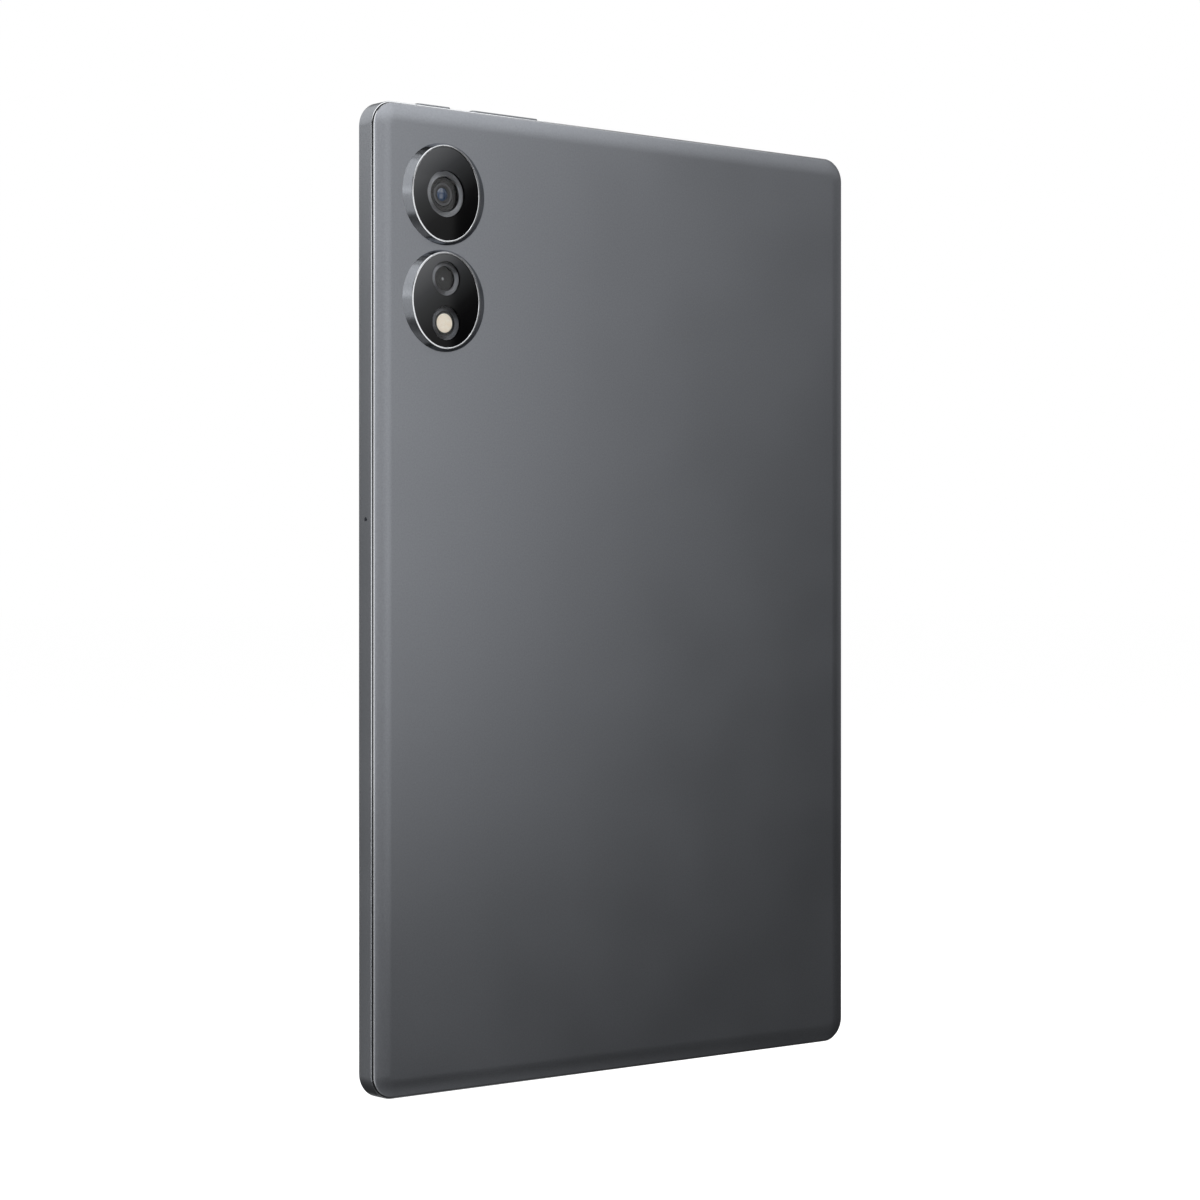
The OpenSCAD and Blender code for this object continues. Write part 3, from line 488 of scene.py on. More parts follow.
def moulded(name, dark, light, roughness, speck=0.3 * MM, strength=0.4):
    material, tree, shader, coordinates = finish(name, dark, Roughness=roughness)
    frost = grain(tree, coordinates, speck)
    two_tone(tree, shader, ranged(tree, frost, 0.0, 1.0), dark, light)
    bumped(tree, shader, frost, FROST_DEPTH, strength)
    return material


def turned_metal(name, colour, hub, roughness):
    """Metal with lathe grooves round a hub; real ones are some 0.02 mm apart, too fine to show."""
    material, tree, shader, coordinates = finish(name, colour, Metallic=1.0, Roughness=roughness)
    hubbed = add(tree, "Mapping", {"Vector": coordinates, "Location": -hub})
    rings = add(tree, "TexWave", {"Vector": hubbed.outputs["Vector"], "Scale": WAVE / GROOVE},
                wave_type="RINGS", rings_direction="Y", wave_profile="SIN")
    bumped(tree, shader, rings.outputs["Fac"], GROOVE_BUMP)
    return material


lens_black = moulded("matt_black_moulded_plastic", "#111213", "#151617", 0.55, 0.15 * MM, 0.05)
barrel_grey = moulded("grey_moulded_lens_barrel", "#48494c", "#505154", 0.42, 0.3 * MM, 0.08)
soft_rubber = moulded("black_silicone_rubber", "#101011", "#161617", 0.75)

# %% [markdown]
# ## The side frame
# The real frame is milled from one piece of aluminium: a wall with a plate across it, like a
# shallow tray with a floor at half depth. It starts here as a block with rounded corners. Both
# wide faces are then worked inwards, the way a milling cutter would: chamfer, lip, step and
# pocket, each one inset and sunk by its own depth.

# %% Mill the frame
side_frame = rounded_slab("side_frame", frame_low, frame_high, CORNER)
edit(side_frame)


def on_wide_face(y):
    return lambda f: len(f.verts) > 8 and near(centre(f).y, y)


def sink(y_from, inset, depth):
    """Insets the wide face at y_from and pushes it along Y."""
    pick(side_frame, "FACE", on_wide_face(y_from))
    bpy.ops.mesh.inset(thickness=inset, depth=0)
    push(depth)


bevel_rim(side_frame, "y", frame_high.y, RIM_CHAMFER, 2)
bevel_rim(side_frame, "y", frame_low.y, FRONT_CHAMFER, 3)
sink(frame_high.y, RIM_LAND, rear_ledge - frame_high.y)
sink(rear_ledge, WALL - RIM_CHAMFER - RIM_LAND, plate_rear - rear_ledge)
sink(frame_low.y, LIP - FRONT_CHAMFER, front_ledge - frame_low.y)
leave()
print("frame walls", len(side_frame.data.polygons), "faces")

# %% [markdown]
# The pockets for the display, keys, speakers and sockets are cut with blocks. Sizes that end in
# FRONT say how far a pocket reaches in front of the line of the keys. The openings
# that show, slots for keys and tray and drilled holes for sound, are cut in a second step, and
# their rims are then broken with a small bevel, because no real drilled edge is perfectly sharp.

# %% Cut the pockets
GRILLE_HOLES = 10
GRILLE_PITCH = 1.9 * MM
NOZZLE = 5.7 * MM
NOZZLE_FRONT, NOZZLE_END = 1.2 * MM, 2 * MM
KEY_FRONT, KEY_BELOW = 1.65 * MM, 0.33 * MM
SOCKET_ABOVE = 2 * MM
MIC_FRONT, MIC_INWARD, MIC_END = 1.5 * MM, 1 * MM, 1.2 * MM
RIBBON_SIDE, RIBBON_LOW, RIBBON_HIGH = 2 * MM, 84.5 * MM, 88.5 * MM
key_low, key_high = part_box("side_key_bracket")
usb_low, usb_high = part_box("usb_c_shell")
mic_low, mic_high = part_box("microphone")
top, bottom = frame_high.z, frame_low.z
pocket_rear = plate_rear + CUT
grille_half = (GRILLE_HOLES - 1) * GRILLE_PITCH / 2
speakers = ["speaker_top_left", "speaker_top_right", "speaker_bottom_left",
            "speaker_bottom_right"]
pockets = []


def pocket(name, low, high):
    pockets.append(block(name, Vector(low), Vector(high)))


def grown(node, by):
    low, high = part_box(node)
    reach = Vector((by, by, by))
    return low - reach, high + reach


pocket("display_pocket", (cell_low.x - SLACK, front_ledge - CUT, cell_low.z - SLACK),
       (cell_high.x + SLACK, plate_rear - PLATE, cell_high.z + SLACK))
pocket("key_pocket", (key_low.x, side_line - KEY_FRONT, key_low.z - KEY_BELOW),
       (key_high.x, pocket_rear, top - WALL))
top_room = (top - WALL - NOZZLE, top - WALL)
bottom_room = (bottom + WALL, bottom + WALL + NOZZLE)
for name in speakers:
    x = middle(name)[0]
    z_low, z_high = top_room if "top" in name else bottom_room
    pocket("nozzle_pocket", (x - grille_half - NOZZLE_END, side_line - NOZZLE_FRONT, z_low),
           (x + grille_half + NOZZLE_END, pocket_rear, z_high))
pocket("socket_pocket", (usb_low.x - SLACK, usb_low.y - SLACK, WALL - SLACK),
       (usb_high.x + SLACK, pocket_rear, usb_high.z + SOCKET_ABOVE))
pocket("microphone_pocket", (mic_low.x - MIC_INWARD, side_line - MIC_FRONT, mic_low.z - MIC_END),
       (frame_high.x - WALL, pocket_rear, mic_high.z + MIC_END))
for node in ("front_camera_module", "light_sensor"):
    low, high = grown(node, SLACK)
    low.y, high.y = front_ledge - CUT, pocket_rear
    pocket("window_pocket", low, high)
low, high = grown("display_flex", RIBBON_SIDE)
pocket("ribbon_pocket", (low.x, plate_rear - PLATE - CUT, middle_z + RIBBON_LOW),
       (high.x, pocket_rear, middle_z + RIBBON_HIGH))
combine(side_frame, pockets)
print("frame with pockets", len(side_frame.data.polygons), "faces")

# %% Cut the openings and break their edges
KEY_GAP = 0.15 * MM
FLANGE = 0.4 * MM
SOUND_HOLE = 0.55 * MM
HOLE_SIDES = 28
SKIN_EDGE = 0.6 * MM
BROKEN_EDGE = 0.07 * MM
top_wall = (top - WALL - CUT, top + CUT)


def opening(node, flange, gap, z_low, z_high):
    """A slot a little larger than the piece that sits in it."""
    low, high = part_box(node)
    x, y, _ = middle(node)
    length = high.x - low.x - 2 * flange + 2 * gap
    height = high.y - low.y - 2 * flange + 2 * gap
    return round_bar("opening", x, y, z_low, z_high, length, height)


def drill(spot, axis):
    return rod("drill", spot, SOUND_HOLE, WALL + 2 * CUT, axis, HOLE_SIDES)


openings = [opening("power_key", FLANGE, KEY_GAP, *top_wall),
            opening("volume_key", FLANGE, KEY_GAP, *top_wall),
            opening("card_tray", 0, SLACK, *top_wall),
            opening("usb_c_shell", 0, SLACK, bottom - CUT, bottom + WALL)]
for name in speakers:
    x = middle(name)[0]
    z = top - WALL / 2 if "top" in name else bottom + WALL / 2
    openings += [drill((x - grille_half + i * GRILLE_PITCH, side_line, z), "Z")
                 for i in range(GRILLE_HOLES)]
mic_z = middle("microphone")[2]
openings.append(drill((frame_high.x - WALL / 2, side_line, mic_z), "X"))
combine(side_frame, openings)
edit(side_frame)


def on_skin(v):
    """A point on a flat outer wall, away from the outline."""
    p = v.co
    inside_y = frame_low.y + SKIN_EDGE < p.y < frame_high.y - SKIN_EDGE
    on_end = (near(p.z, top) or near(p.z, bottom)) and abs(p.x) < frame_high.x - CORNER - MM
    on_side = near(p.x, frame_high.x) and near(p.z, mic_z, 2 * MM)
    return inside_y and (on_end or on_side)


rims = pick(side_frame, "EDGE", lambda e: on_skin(e.verts[0]) and on_skin(e.verts[1]))
bpy.ops.mesh.bevel(offset=BROKEN_EDGE, segments=2, affect="EDGES", clamp_overlap=True)
leave()
print(rims, "rim edges broken")

# %% Finish the frame
smooth(side_frame, 30)


def on_chamfer(face):
    """The upper half of the rolled chamfer, which is the half that the diamond tool cuts."""
    rim = near(face.center.y, frame_high.y - RIM_CHAMFER / 4, 0.1 * MM)
    return rim and 0.7 < face.normal.y < 0.98


paint(side_frame, [frame_metal, cut_metal], [(1, on_chamfer)])
place(side_frame, "tablet", "frame_aluminium", "mid_frame")

# %% [markdown]
# ## The rear cover
# The cover is pressed from sheet: flat in the middle, rolled over along its edge, and upright for
# the last half millimetre, where it dips into the frame. The roll is drawn here as a parabola,
# steep at the edge and level where it meets the flat, so that no line shows between them. A
# narrow diamond-cut chamfer on top of the upright edge catches the light as a fine line.

# %% Press the cover
ROLL_WIDTH = 5 * MM
ROLL_STEPS = 16
EDGE_CUT = 0.1 * MM
EDGE_RISE = 0.55 * MM
COVER = 0.8 * MM
cover_corner = CORNER - (cover_low.x - frame_low.x)
edge_y = frame_high.y + EDGE_RISE
roll_rise = cover_high.y - edge_y
foot_high = Vector((cover_high.x, edge_y, cover_high.z))
back_shell = rounded_slab("back_shell", cover_low, foot_high, cover_corner, 24)
edit(back_shell)
bevel_rim(back_shell, "y", edge_y, EDGE_CUT, 1)


def roll(x):
    """Height above the foot at a distance x from the cover's edge."""
    return roll_rise * (1 - (1 - min(x / ROLL_WIDTH, 1)) ** 2)


x, y = EDGE_CUT, edge_y
for i in range(ROLL_STEPS):
    x_next = EDGE_CUT + (ROLL_WIDTH - EDGE_CUT) * (i + 1) / ROLL_STEPS
    pick(back_shell, "FACE", on_wide_face(y))
    bpy.ops.mesh.inset(thickness=x_next - x, depth=edge_y + roll(x_next) - y)
    x, y = x_next, edge_y + roll(x_next)
pick(back_shell, "FACE", on_wide_face(cover_low.y))
bpy.ops.mesh.delete(type="FACE")
leave()
print("roll ends", round(x / MM, 2), "mm in, at", round(y / MM, 3), "mm")

# %% [markdown]
# Solidify gives the sheet its thickness on the inside. The two holes that the camera rings
# pass through are cut with plain rods; their edges are hidden under the rings.

# %% Thicken the cover and cut the camera holes
only(back_shell)
sheet = back_shell.modifiers.new("sheet", "SOLIDIFY")
sheet.thickness = COVER
sheet.offset = -1
sheet.use_even_offset = True
bpy.ops.object.modifier_apply(modifier=sheet.name)
ring_nodes = {"main": "main_camera_ring", "second": "second_camera_ring"}
hubs = {key: hub_of(node)[0] for key, node in ring_nodes.items()}
COLLAR_HOLE = 12.15 * MM
THROUGH = 6 * MM
combine(back_shell, [rod("hole", (h.x, cover_high.y, h.z), COLLAR_HOLE, THROUGH)
                     for h in hubs.values()])
smooth(back_shell, 38)


def on_edge_cut(face):
    return near(face.center.y, edge_y - EDGE_CUT / 2, 0.04 * MM) and 0.5 < face.normal.y < 0.9


def on_upright(face):
    """The upright edge, painted near black up to the cut as painted shade: it stands for the
    shadow in the gap between cover and frame.
    """
    return abs(face.normal.y) < 0.3 and face.center.y < edge_y - EDGE_CUT / 2


# Painted shade: near-black paint on the upright edge for the shadow in the gap.
painted_seam_shade = moulded("black_painted_seam_shade", "#101113", "#16171a", 0.6, 0.2 * MM)
paint(back_shell, [back_metal, cut_metal, painted_seam_shade], [(1, on_edge_cut), (2, on_upright)])
place(back_shell, "tablet", "cover_aluminium", "rear_cover")

# %% [markdown]
# ## The camera rings
# Each ring stands on a round foot and leans in to an oval rim, so its flanks are wide left and
# right and narrow above and below. That is one cylinder whose upper loop is scaled by two
# different amounts. The rim is diamond cut; inside it a pocket holds the glass.

# %% Make the rings
low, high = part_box("main_camera_glass")
FIT = 0.05 * MM
RING_RIM = 0.5 * MM
window_w, window_h = high.x - low.x, high.z - low.z
rim_w, rim_h = window_w + 2 * (FIT + RING_RIM), window_h + 2 * (FIT + RING_RIM)
glass_front, glass_rear = low.y, high.y
glass_middle = (glass_front + glass_rear) / 2
COLLAR = 11.95 * MM
RIM_ROUND = 0.16 * MM
RIM_LEVEL = RING_RIM - 0.24 * MM
RIM_SLOPE, RIM_DROP = 0.08 * MM, 0.05 * MM
GLASS_SHELF = 0.8 * MM
POLISHED = 0.04 * MM


def scale_round(hub, across, along):
    bpy.ops.transform.resize(value=(across, 1, along), center_override=hub)


def camera_ring(name, hub, node):
    low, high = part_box(node)
    foot = (high.x - low.x) / 2
    ring = rod(name, (hub.x, (cover_high.y + high.y) / 2, hub.z), foot, high.y - cover_high.y,
               vertices=144)
    edit(ring)
    pick(ring, "VERT", lambda v: near(v.co.y, high.y))
    scale_round(hub, rim_w / 2 / foot, rim_h / 2 / foot)
    bevel_rim(ring, "y", high.y, RIM_ROUND, 3)
    pick(ring, "FACE", on_wide_face(high.y))
    bpy.ops.mesh.inset(thickness=RIM_LEVEL, depth=0)
    bpy.ops.mesh.inset(thickness=RIM_SLOPE, depth=-RIM_DROP)
    push(glass_front - high.y + RIM_DROP)
    bpy.ops.mesh.inset(thickness=GLASS_SHELF, depth=0)
    bpy.ops.mesh.delete(type="FACE")
    pick(ring, "FACE", on_wide_face(cover_high.y))
    bpy.ops.mesh.inset(thickness=foot - COLLAR, depth=0)
    push(low.y - cover_high.y)
    bpy.ops.mesh.delete(type="FACE")
    pick(ring, "EDGE", lambda e: e.is_boundary)
    bpy.ops.mesh.bridge_edge_loops()
    bpy.ops.mesh.select_all(action="SELECT")
    bpy.ops.mesh.normals_make_consistent(inside=False)
    leave()
    smooth(ring, 30)
    paint(ring, [ring_metal, cut_metal], [(1, lambda f: f.center.y > high.y - POLISHED)])
    return ring


for key, node in ring_nodes.items():
    place(camera_ring(key + "_camera_bezel", hubs[key], node), "tablet", "cover_aluminium", node)

# %% [markdown]
# ## The camera windows
# Each window is an oval glass with a small polished edge. Ink covers its inside except over the
# lenses, so the window's faces are divided there: a rod-shaped cut marks each clear circle, and
# only the faces within it are clear.

# %% Make the windows
trims = {"main_lens_trim": "main", "second_lens_trim": "second", "flash_trim": "second"}
WINDOW_EDGE = 0.1 * MM
WELD = 0.002 * MM


def camera_window(name, key):
    hub = hubs[key]
    window = rod(name, (hub.x, glass_middle, hub.z), MM, glass_rear - glass_front, vertices=144)
    edit(window)
    bpy.ops.mesh.select_all(action="SELECT")
    scale_round(hub, window_w / 2 / MM, window_h / 2 / MM)
    bevel_rim(window, "y", glass_rear, WINDOW_EDGE, 3)
    leave()
    clear = [hub_of(trim) for trim, side in trims.items() if side == key]
    plugs = [rod("plug", (spot.x, glass_middle, spot.z), radius, glass_rear - glass_front)
             for spot, radius in clear]
    combine(window, [rod("hole", (spot.x, glass_middle, spot.z), radius, 2 * MM)
                     for spot, radius in clear])
    edit(window)

    def within(point, share):
        return any(off_axis(point, spot) < radius * share for spot, radius in clear)

    pick(window, "FACE", lambda f: abs(f.normal.y) < 0.5 and within(centre(f), 1.001))
    bpy.ops.mesh.delete(type="FACE")
    leave()
    for plug in plugs:
        edit(plug)
        pick(plug, "FACE", lambda f: len(f.verts) == 4)
        bpy.ops.mesh.delete(type="ONLY_FACE")
        leave()
    window = joined([window, *plugs])
    edit(window)
    bpy.ops.mesh.select_all(action="SELECT")
    bpy.ops.mesh.remove_doubles(threshold=WELD)
    leave()
    smooth(window, 40)

    def is_clear(face):
        """The flat end of a plug, the only face with so many corners."""
        end = abs(face.normal.y) > 0.9 and len(face.vertices) == ROUND
        return end and within(face.center, 0.99)

    # The window's ink carries a painted reflection, lighter towards one corner.
    ink = ink_with_painted_reflection("black_ink_painted_reflection_" + name, hub)
    paint(window, [ink, clear_glass], [(1, is_clear)])
    print(name, "clear faces", sum(f.material_index for f in window.data.polygons))
    return window


for key, node in {"main": "main_camera_glass", "second": "second_camera_glass"}.items():
    place(camera_window(key + "_camera_window", key), "tablet", "camera_glass", node)

# %% [markdown]
# ## Lens trims, barrel and lenses
# These are all turned parts, so they are modelled as on a lathe: a circle is extruded and
# scaled again and again along a profile. A helper does one profile, a list of radius and
# depth, and closes it on itself. A bare circle has no faces, so the helper asks for edges to
# be selected: in face mode nothing of it would be, and every extrusion would do nothing.
#
# The trims are faced on the lathe, which leaves fine grooves round the lens. Grooves lean
# light outwards and inwards from the hub only, so a turned face shows bright streaks like the
# hands of a clock. That comes from the shape, so the grooves are modelled, coarser than real.

# %% A lathe made of extrusions
SEAM = 0.001 * MM


def turned(name, hub, profile, vertices=ROUND, closed=True):
    """Profile points are (radius, y); closed makes a ring, open gets its two ends filled."""
    radius, y = profile[0]
    bpy.ops.object.select_all(action="DESELECT")
    bpy.ops.mesh.primitive_circle_add(vertices=vertices, radius=radius, fill_type="NOTHING",
                                      location=(hub.x, y, hub.z), rotation=(pi / 2, 0, 0))
    part = named(name)
    edit(part)
    bpy.ops.mesh.select_mode(type="EDGE")
    bpy.ops.mesh.select_all(action="SELECT")
    for next_radius, next_y in profile[1:] + (profile[:1] if closed else []):
        push(next_y - y)
        scale_round(Vector((hub.x, next_y, hub.z)), next_radius / radius, next_radius / radius)
        radius, y = next_radius, next_y
    bpy.ops.mesh.select_all(action="SELECT")
    if closed:
        bpy.ops.mesh.remove_doubles(threshold=SEAM)
    else:
        bpy.ops.mesh.fill_holes(sides=vertices)
    bpy.ops.mesh.normals_make_consistent(inside=False)
    leave()
    return part


# %% Turn the three trims
GROOVES = 5
GROOVE_DEPTH = 0.045 * MM
TRIM_EDGE = 0.08 * MM


def lens_trim(name, node, width, colour):
    """A flat ring with shallow turned grooves, and a blackened bore."""
    hub, radius = hub_of(node)
    low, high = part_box(node)
    face, bore = high.y, radius - width
    pitch = (width - 2 * TRIM_EDGE) / GROOVES
    outline = [(bore, low.y), (radius, low.y), (radius, face - TRIM_EDGE)]
    for i in range(GROOVES):
        ridge = radius - TRIM_EDGE - i * pitch
        outline += [(ridge, face), (ridge - pitch / 2, face - GROOVE_DEPTH)]
    outline += [(bore + TRIM_EDGE, face), (bore, face - TRIM_EDGE)]
    part = turned(name, hub, outline)
    smooth(part, 15, weighted=False)

    metal = turned_metal("turned_aluminium_" + name, colour, hub, 0.28)
    paint(part, [metal, lens_black],
          [(1, lambda f: off_axis(f.center, hub) < bore + TRIM_EDGE / 4)])
    place(part, "tablet", "trim_steel", node)


lens_trim("main_trim_ring", "main_lens_trim", 1.45 * MM, "#86888c")
lens_trim("second_trim_ring", "second_lens_trim", 1.3 * MM, "#7a7c80")
lens_trim("flash_trim_ring", "flash_trim", 1.3 * MM, "#5a5c60")

# %% [markdown]
# The lens barrel is black plastic with a grey front ring and steps that swallow stray light.
# It focuses by sliding in and out, so the barrel and its front lens ride together on a body of
# their own. Each step is how far it lies outside the lens and below the front ring, in mm. A
# lens is a short upright wall under a shallow dome: the arc of a large sphere, turned about
# the axis.

# %% The focusing barrel and its lens
BARREL_EDGE = 0.12 * MM
BARREL_STEPS = [(0.75, 0), (0.7, 0.08), (0.42, 0.08), (0.37, 0.18), (0.1, 0.24), (0.02, 0.34)]
BLACK_FROM = 0.72 * MM
LENS_WALL = 0.4
barrel_hub, barrel_radius = hub_of("main_lens_barrel")
barrel_low, barrel_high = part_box("main_lens_barrel")
lens_radius = hub_of("main_front_lens")[1]
rear = barrel_high.y
steps = [(lens_radius + out * MM, rear - down * MM) for out, down in BARREL_STEPS]
barrel = turned("focus_barrel", barrel_hub, [
    (steps[-1][0], barrel_low.y), (barrel_radius, barrel_low.y),
    (barrel_radius, rear - BARREL_EDGE), (barrel_radius - BARREL_EDGE, rear), *steps])
smooth(barrel, 30)
paint(barrel, [barrel_grey, lens_black],
      [(1, lambda f: off_axis(f.center, barrel_hub) < lens_radius + BLACK_FROM)])
place(barrel, "focus_lens", "camera_plastic", "main_lens_barrel")


def dome(radius, wall, crown, steps=10):
    """The outline of a flat-backed lens, from the rim of its back to near its middle."""
    ball = (radius ** 2 + crown ** 2) / (2 * crown)
    sweep = asin(radius / ball)
    outline = [(radius, 0)]
    for i in range(steps):
        angle = sweep * (1 - i / steps)
        outline.append((ball * sin(angle), wall + crown - ball + ball * cos(angle)))
    return outline


def lens(name, body, node, material, facing=1):
    """A dome that fills its solid's box; facing is 1 out of the back and -1 out of the screen."""
    hub, radius = hub_of(node)
    low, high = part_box(node)
    base, tip = (low.y, high.y) if facing > 0 else (high.y, low.y)
    outline = dome(radius, abs(tip - base) * LENS_WALL, abs(tip - base) * (1 - LENS_WALL))
    part = turned(name, hub, [(r, base + facing * y) for r, y in outline], 64, closed=False)
    smooth(part, 50)
    paint(part, [material])
    place(part, body, "lens_glass", node)


lens("front_lens", "focus_lens", "main_front_lens", front_element)
lens("second_lens", "tablet", "second_front_lens", small_lens_painted_highlight)
lens("front_camera_element", "tablet", "front_camera_lens", front_element, facing=-1)

# %% [markdown]
# ## The flash lens
# The flash shines through a moulded plate with concentric prisms, the kind of lens used in
# lighthouses pressed flat. Seen off, it is a warm white disc, because the phosphor behind it
# is yellow.

# %% The flash lens
flash_hub, flash_flange = hub_of("flash_lens")
flash_low, flash_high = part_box("flash_lens")
FLASH_RADIUS = 2.5 * MM
FLASH_RIM = 0.15 * MM
PRISMS = 5
PRISM_DEPTH = 0.08 * MM
prism = FLASH_RADIUS / (PRISMS + 0.5)
rim_y, groove_y = flash_low.y + FLASH_RIM, flash_high.y - PRISM_DEPTH
outline = [(flash_flange, flash_low.y), (flash_flange, rim_y),
           (FLASH_RADIUS, rim_y), (FLASH_RADIUS, groove_y)]
for i in range(PRISMS):
    r = FLASH_RADIUS - i * prism
    outline += [(r - 0.75 * prism, flash_high.y), (r - prism, groove_y)]
flash = turned("flash_prism_plate", flash_hub, outline, 72, closed=False)
smooth(flash, 20)
flash_white, tree, shader, coordinates = finish("warm_moulded_acrylic", "#fbf0dd", Roughness=0.22)
phosphor = ranged(tree, grain(tree, coordinates, 0.9 * MM), 0, 1)
two_tone(tree, shader, phosphor, "#f8ebd6", "#fff7e8")


def on_flange(face):
    """The rim under the trim, which is black so that only the round lens shows."""
    outside = off_axis(face.center, flash_hub) > FLASH_RADIUS - 0.02 * MM
    return outside and face.center.y < rim_y + 0.05 * MM


paint(flash, [flash_white, lens_black], [(1, on_flange)])
place(flash, "tablet", "flash_plastic", "flash_lens")

# %% [markdown]
# ## Keys and card tray
# The keys and the tray's head are slots in outline, so they start as round bars. Their outer
# rim gets a soft bevel, since a finger meets it. The flanges, the nubs that press the domes and
# the volume key's rocker, all hidden inside the wall, are welded on, because the pieces are
# whole objects and not just what shows.

# %% The two keys
KEY_ROUND = 0.22 * MM
FLANGE_THICK = 0.45 * MM
KEY_OVERLAP, NUB_OVERLAP = 0.2 * MM, 0.3 * MM
PRESS_PLAY, ROCK_PLAY = 0.05 * MM, 0.4 * MM
NUB = 0.7 * MM
NUB_SIDES = 32
ROCKER = 0.35 * MM
ROCKER_DEPTH = WALL + MM
ROCK_ROOM = 0.25 * MM
NUB_OFFSET = 7 * MM
domes_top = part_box("side_key_domes")[1].z


def side_key(name, node, nubs):
    """A key that rocks has a pivot below its middle, and its nubs stop short of the domes."""
    low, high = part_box(node)
    rocks = len(nubs) > 1
    x, y, _ = middle(node)
    length, height = high.x - low.x - 2 * FLANGE, high.y - low.y - 2 * FLANGE
    flange_top = top - WALL - (ROCK_PLAY if rocks else PRESS_PLAY)
    key = round_bar(name, x, y, flange_top - KEY_OVERLAP, high.z, length, height)
    edit(key)
    bevel_rim(key, "z", high.z, KEY_ROUND, 4)
    leave()
    flange = round_bar("flange", x, y, flange_top - FLANGE_THICK, flange_top,
                       high.x - low.x, high.y - low.y)
    combine(key, [flange], "UNION")
    nub_top = flange_top - NUB_OVERLAP
    nub_end = domes_top + ROCK_ROOM if rocks else low.z
    stems = [rod("nub", (x + n, y, (nub_end + nub_top) / 2), NUB, nub_top - nub_end, "Z",
                 NUB_SIDES)
             for n in nubs]
    if rocks:
        stems.append(rod("rocker", (x, y, top - ROCKER_DEPTH), ROCKER, height, "Y", NUB_SIDES))
    combine(key, stems, "UNION")
    smooth(key, 32)
    paint(key, [frame_metal])
    place(key, node, "frame_aluminium", node)


side_key("power_button", "power_key", [0])
side_key("volume_button", "volume_key", [-NUB_OFFSET, NUB_OFFSET])

# %% The card tray
HEAD = 1.4 * MM
HEAD_EDGE = 0.08 * MM
CARRIER_W = 13.2 * MM
CARRIER_T = 1.1 * MM
RIB = 1.2 * MM
UPPER_BED_W, UPPER_BED_L = 12.3 * MM, 8.8 * MM
LOWER_BED_W, LOWER_BED_L = 11 * MM, 15 * MM
PIN_HOLE = 0.5 * MM
tray_low, tray_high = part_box("card_tray")
tray_x, tray_y, _ = middle("card_tray")
pin_x = middle("ejector_rod")[0]
tray = round_bar("sim_tray", tray_x, tray_y, top - HEAD, top, tray_high.x - tray_low.x,
                 tray_high.y - tray_low.y)
edit(tray)
bevel_rim(tray, "z", top, HEAD_EDGE, 2)
leave()


def tray_block(name, width, thickness, z_low, z_high):
    """A block centred on the tray, between two heights."""
    half = Vector((width / 2, thickness / 2, 0))
    return block(name, Vector((tray_x, tray_y, z_low)) - half,
                 Vector((tray_x, tray_y, z_high)) + half)


carrier = tray_block("carrier", CARRIER_W, CARRIER_T, tray_low.z, top - HEAD + SLACK)
combine(tray, [carrier], "UNION")
upper_end, lower_start = top - HEAD - RIB, tray_low.z + RIB
combine(tray, [rod("pin_hole", (pin_x, tray_y, top - HEAD / 2), PIN_HOLE, HEAD + CUT, "Z",
                   HOLE_SIDES),
               tray_block("bed", UPPER_BED_W, 2 * MM, upper_end - UPPER_BED_L, upper_end),
               tray_block("bed", LOWER_BED_W, 2 * MM, lower_start, lower_start + LOWER_BED_L)])
smooth(tray, 32)
paint(tray, [frame_metal])
place(tray, "card_tray", "frame_aluminium", "card_tray")

# %% [markdown]
# ## The screen glass
# The front is one sheet of glass whose edge is ground to a quarter round, so that a thumb
# slides over it. Black ink frames the picture. The picture area is inset as a face of its own,
# to give it the slightly different black that a switched-off display has, and the front
# camera looks out of a small clear circle in the border.

# %% Grind the screen glass
GLASS_EDGE = 0.35 * MM
BEZEL = 10 * MM
EYE_RADIUS, EYE_DEPTH = 1.5 * MM, 0.02 * MM


def faces_out(face):
    """A face of the flat front."""
    return face.normal.y < -0.99


glass_corner = CORNER - (glass_low.x - frame_low.x)
screen = rounded_slab("screen_glass", glass_low, glass_high, glass_corner, 24)
edit(screen)
bevel_rim(screen, "y", glass_low.y, GLASS_EDGE, 6)
leave()
picture_low = Vector((frame_low.x + BEZEL, glass_low.y, frame_low.z + BEZEL))
picture_high = Vector((frame_high.x - BEZEL, glass_low.y, frame_high.z - BEZEL))
camera_hub = hub_of("front_camera_lens")[0]
edit(screen)
for normal in ((1, 0, 0), (0, 0, 1)):
    for corner in (picture_low, picture_high):
        pick(screen, "FACE", faces_out)
        bpy.ops.mesh.bisect(plane_co=corner, plane_no=normal)
leave()
combine(screen, [rod("camera_hole", (camera_hub.x, glass_low.y, camera_hub.z), EYE_RADIUS,
                     EYE_DEPTH, vertices=48)])
smooth(screen, 30)


def in_picture(face):
    c = face.center
    return (faces_out(face) and picture_low.x < c.x < picture_high.x
            and picture_low.z < c.z < picture_high.z)


def in_eye(face):
    """The clear circle; the long strip of border is centred on it too, so size decides."""
    small = face.area < pi * EYE_RADIUS ** 2 * 1.1
    return small and faces_out(face) and off_axis(face.center, camera_hub) < EYE_RADIUS


paint(screen, [printed_glass, unlit_screen, front_element], [(1, in_picture), (2, in_eye)])
for index, what in ((1, "picture"), (2, "camera eye")):
    painted = sum(f.area for f in screen.data.polygons if f.material_index == index)
    print(what, round(painted / MM ** 2, 1), "square mm")
place(screen, "tablet", "screen_glass", "cover_glass")

# %% [markdown]
# ## The USB socket
# The shell is drawn from one piece of steel, a slot in outline. It is bored from the mouth
# inwards, and its lip is rounded so that a plug finds its way in. The tongue inside carries
# twelve gold contacts on each face.

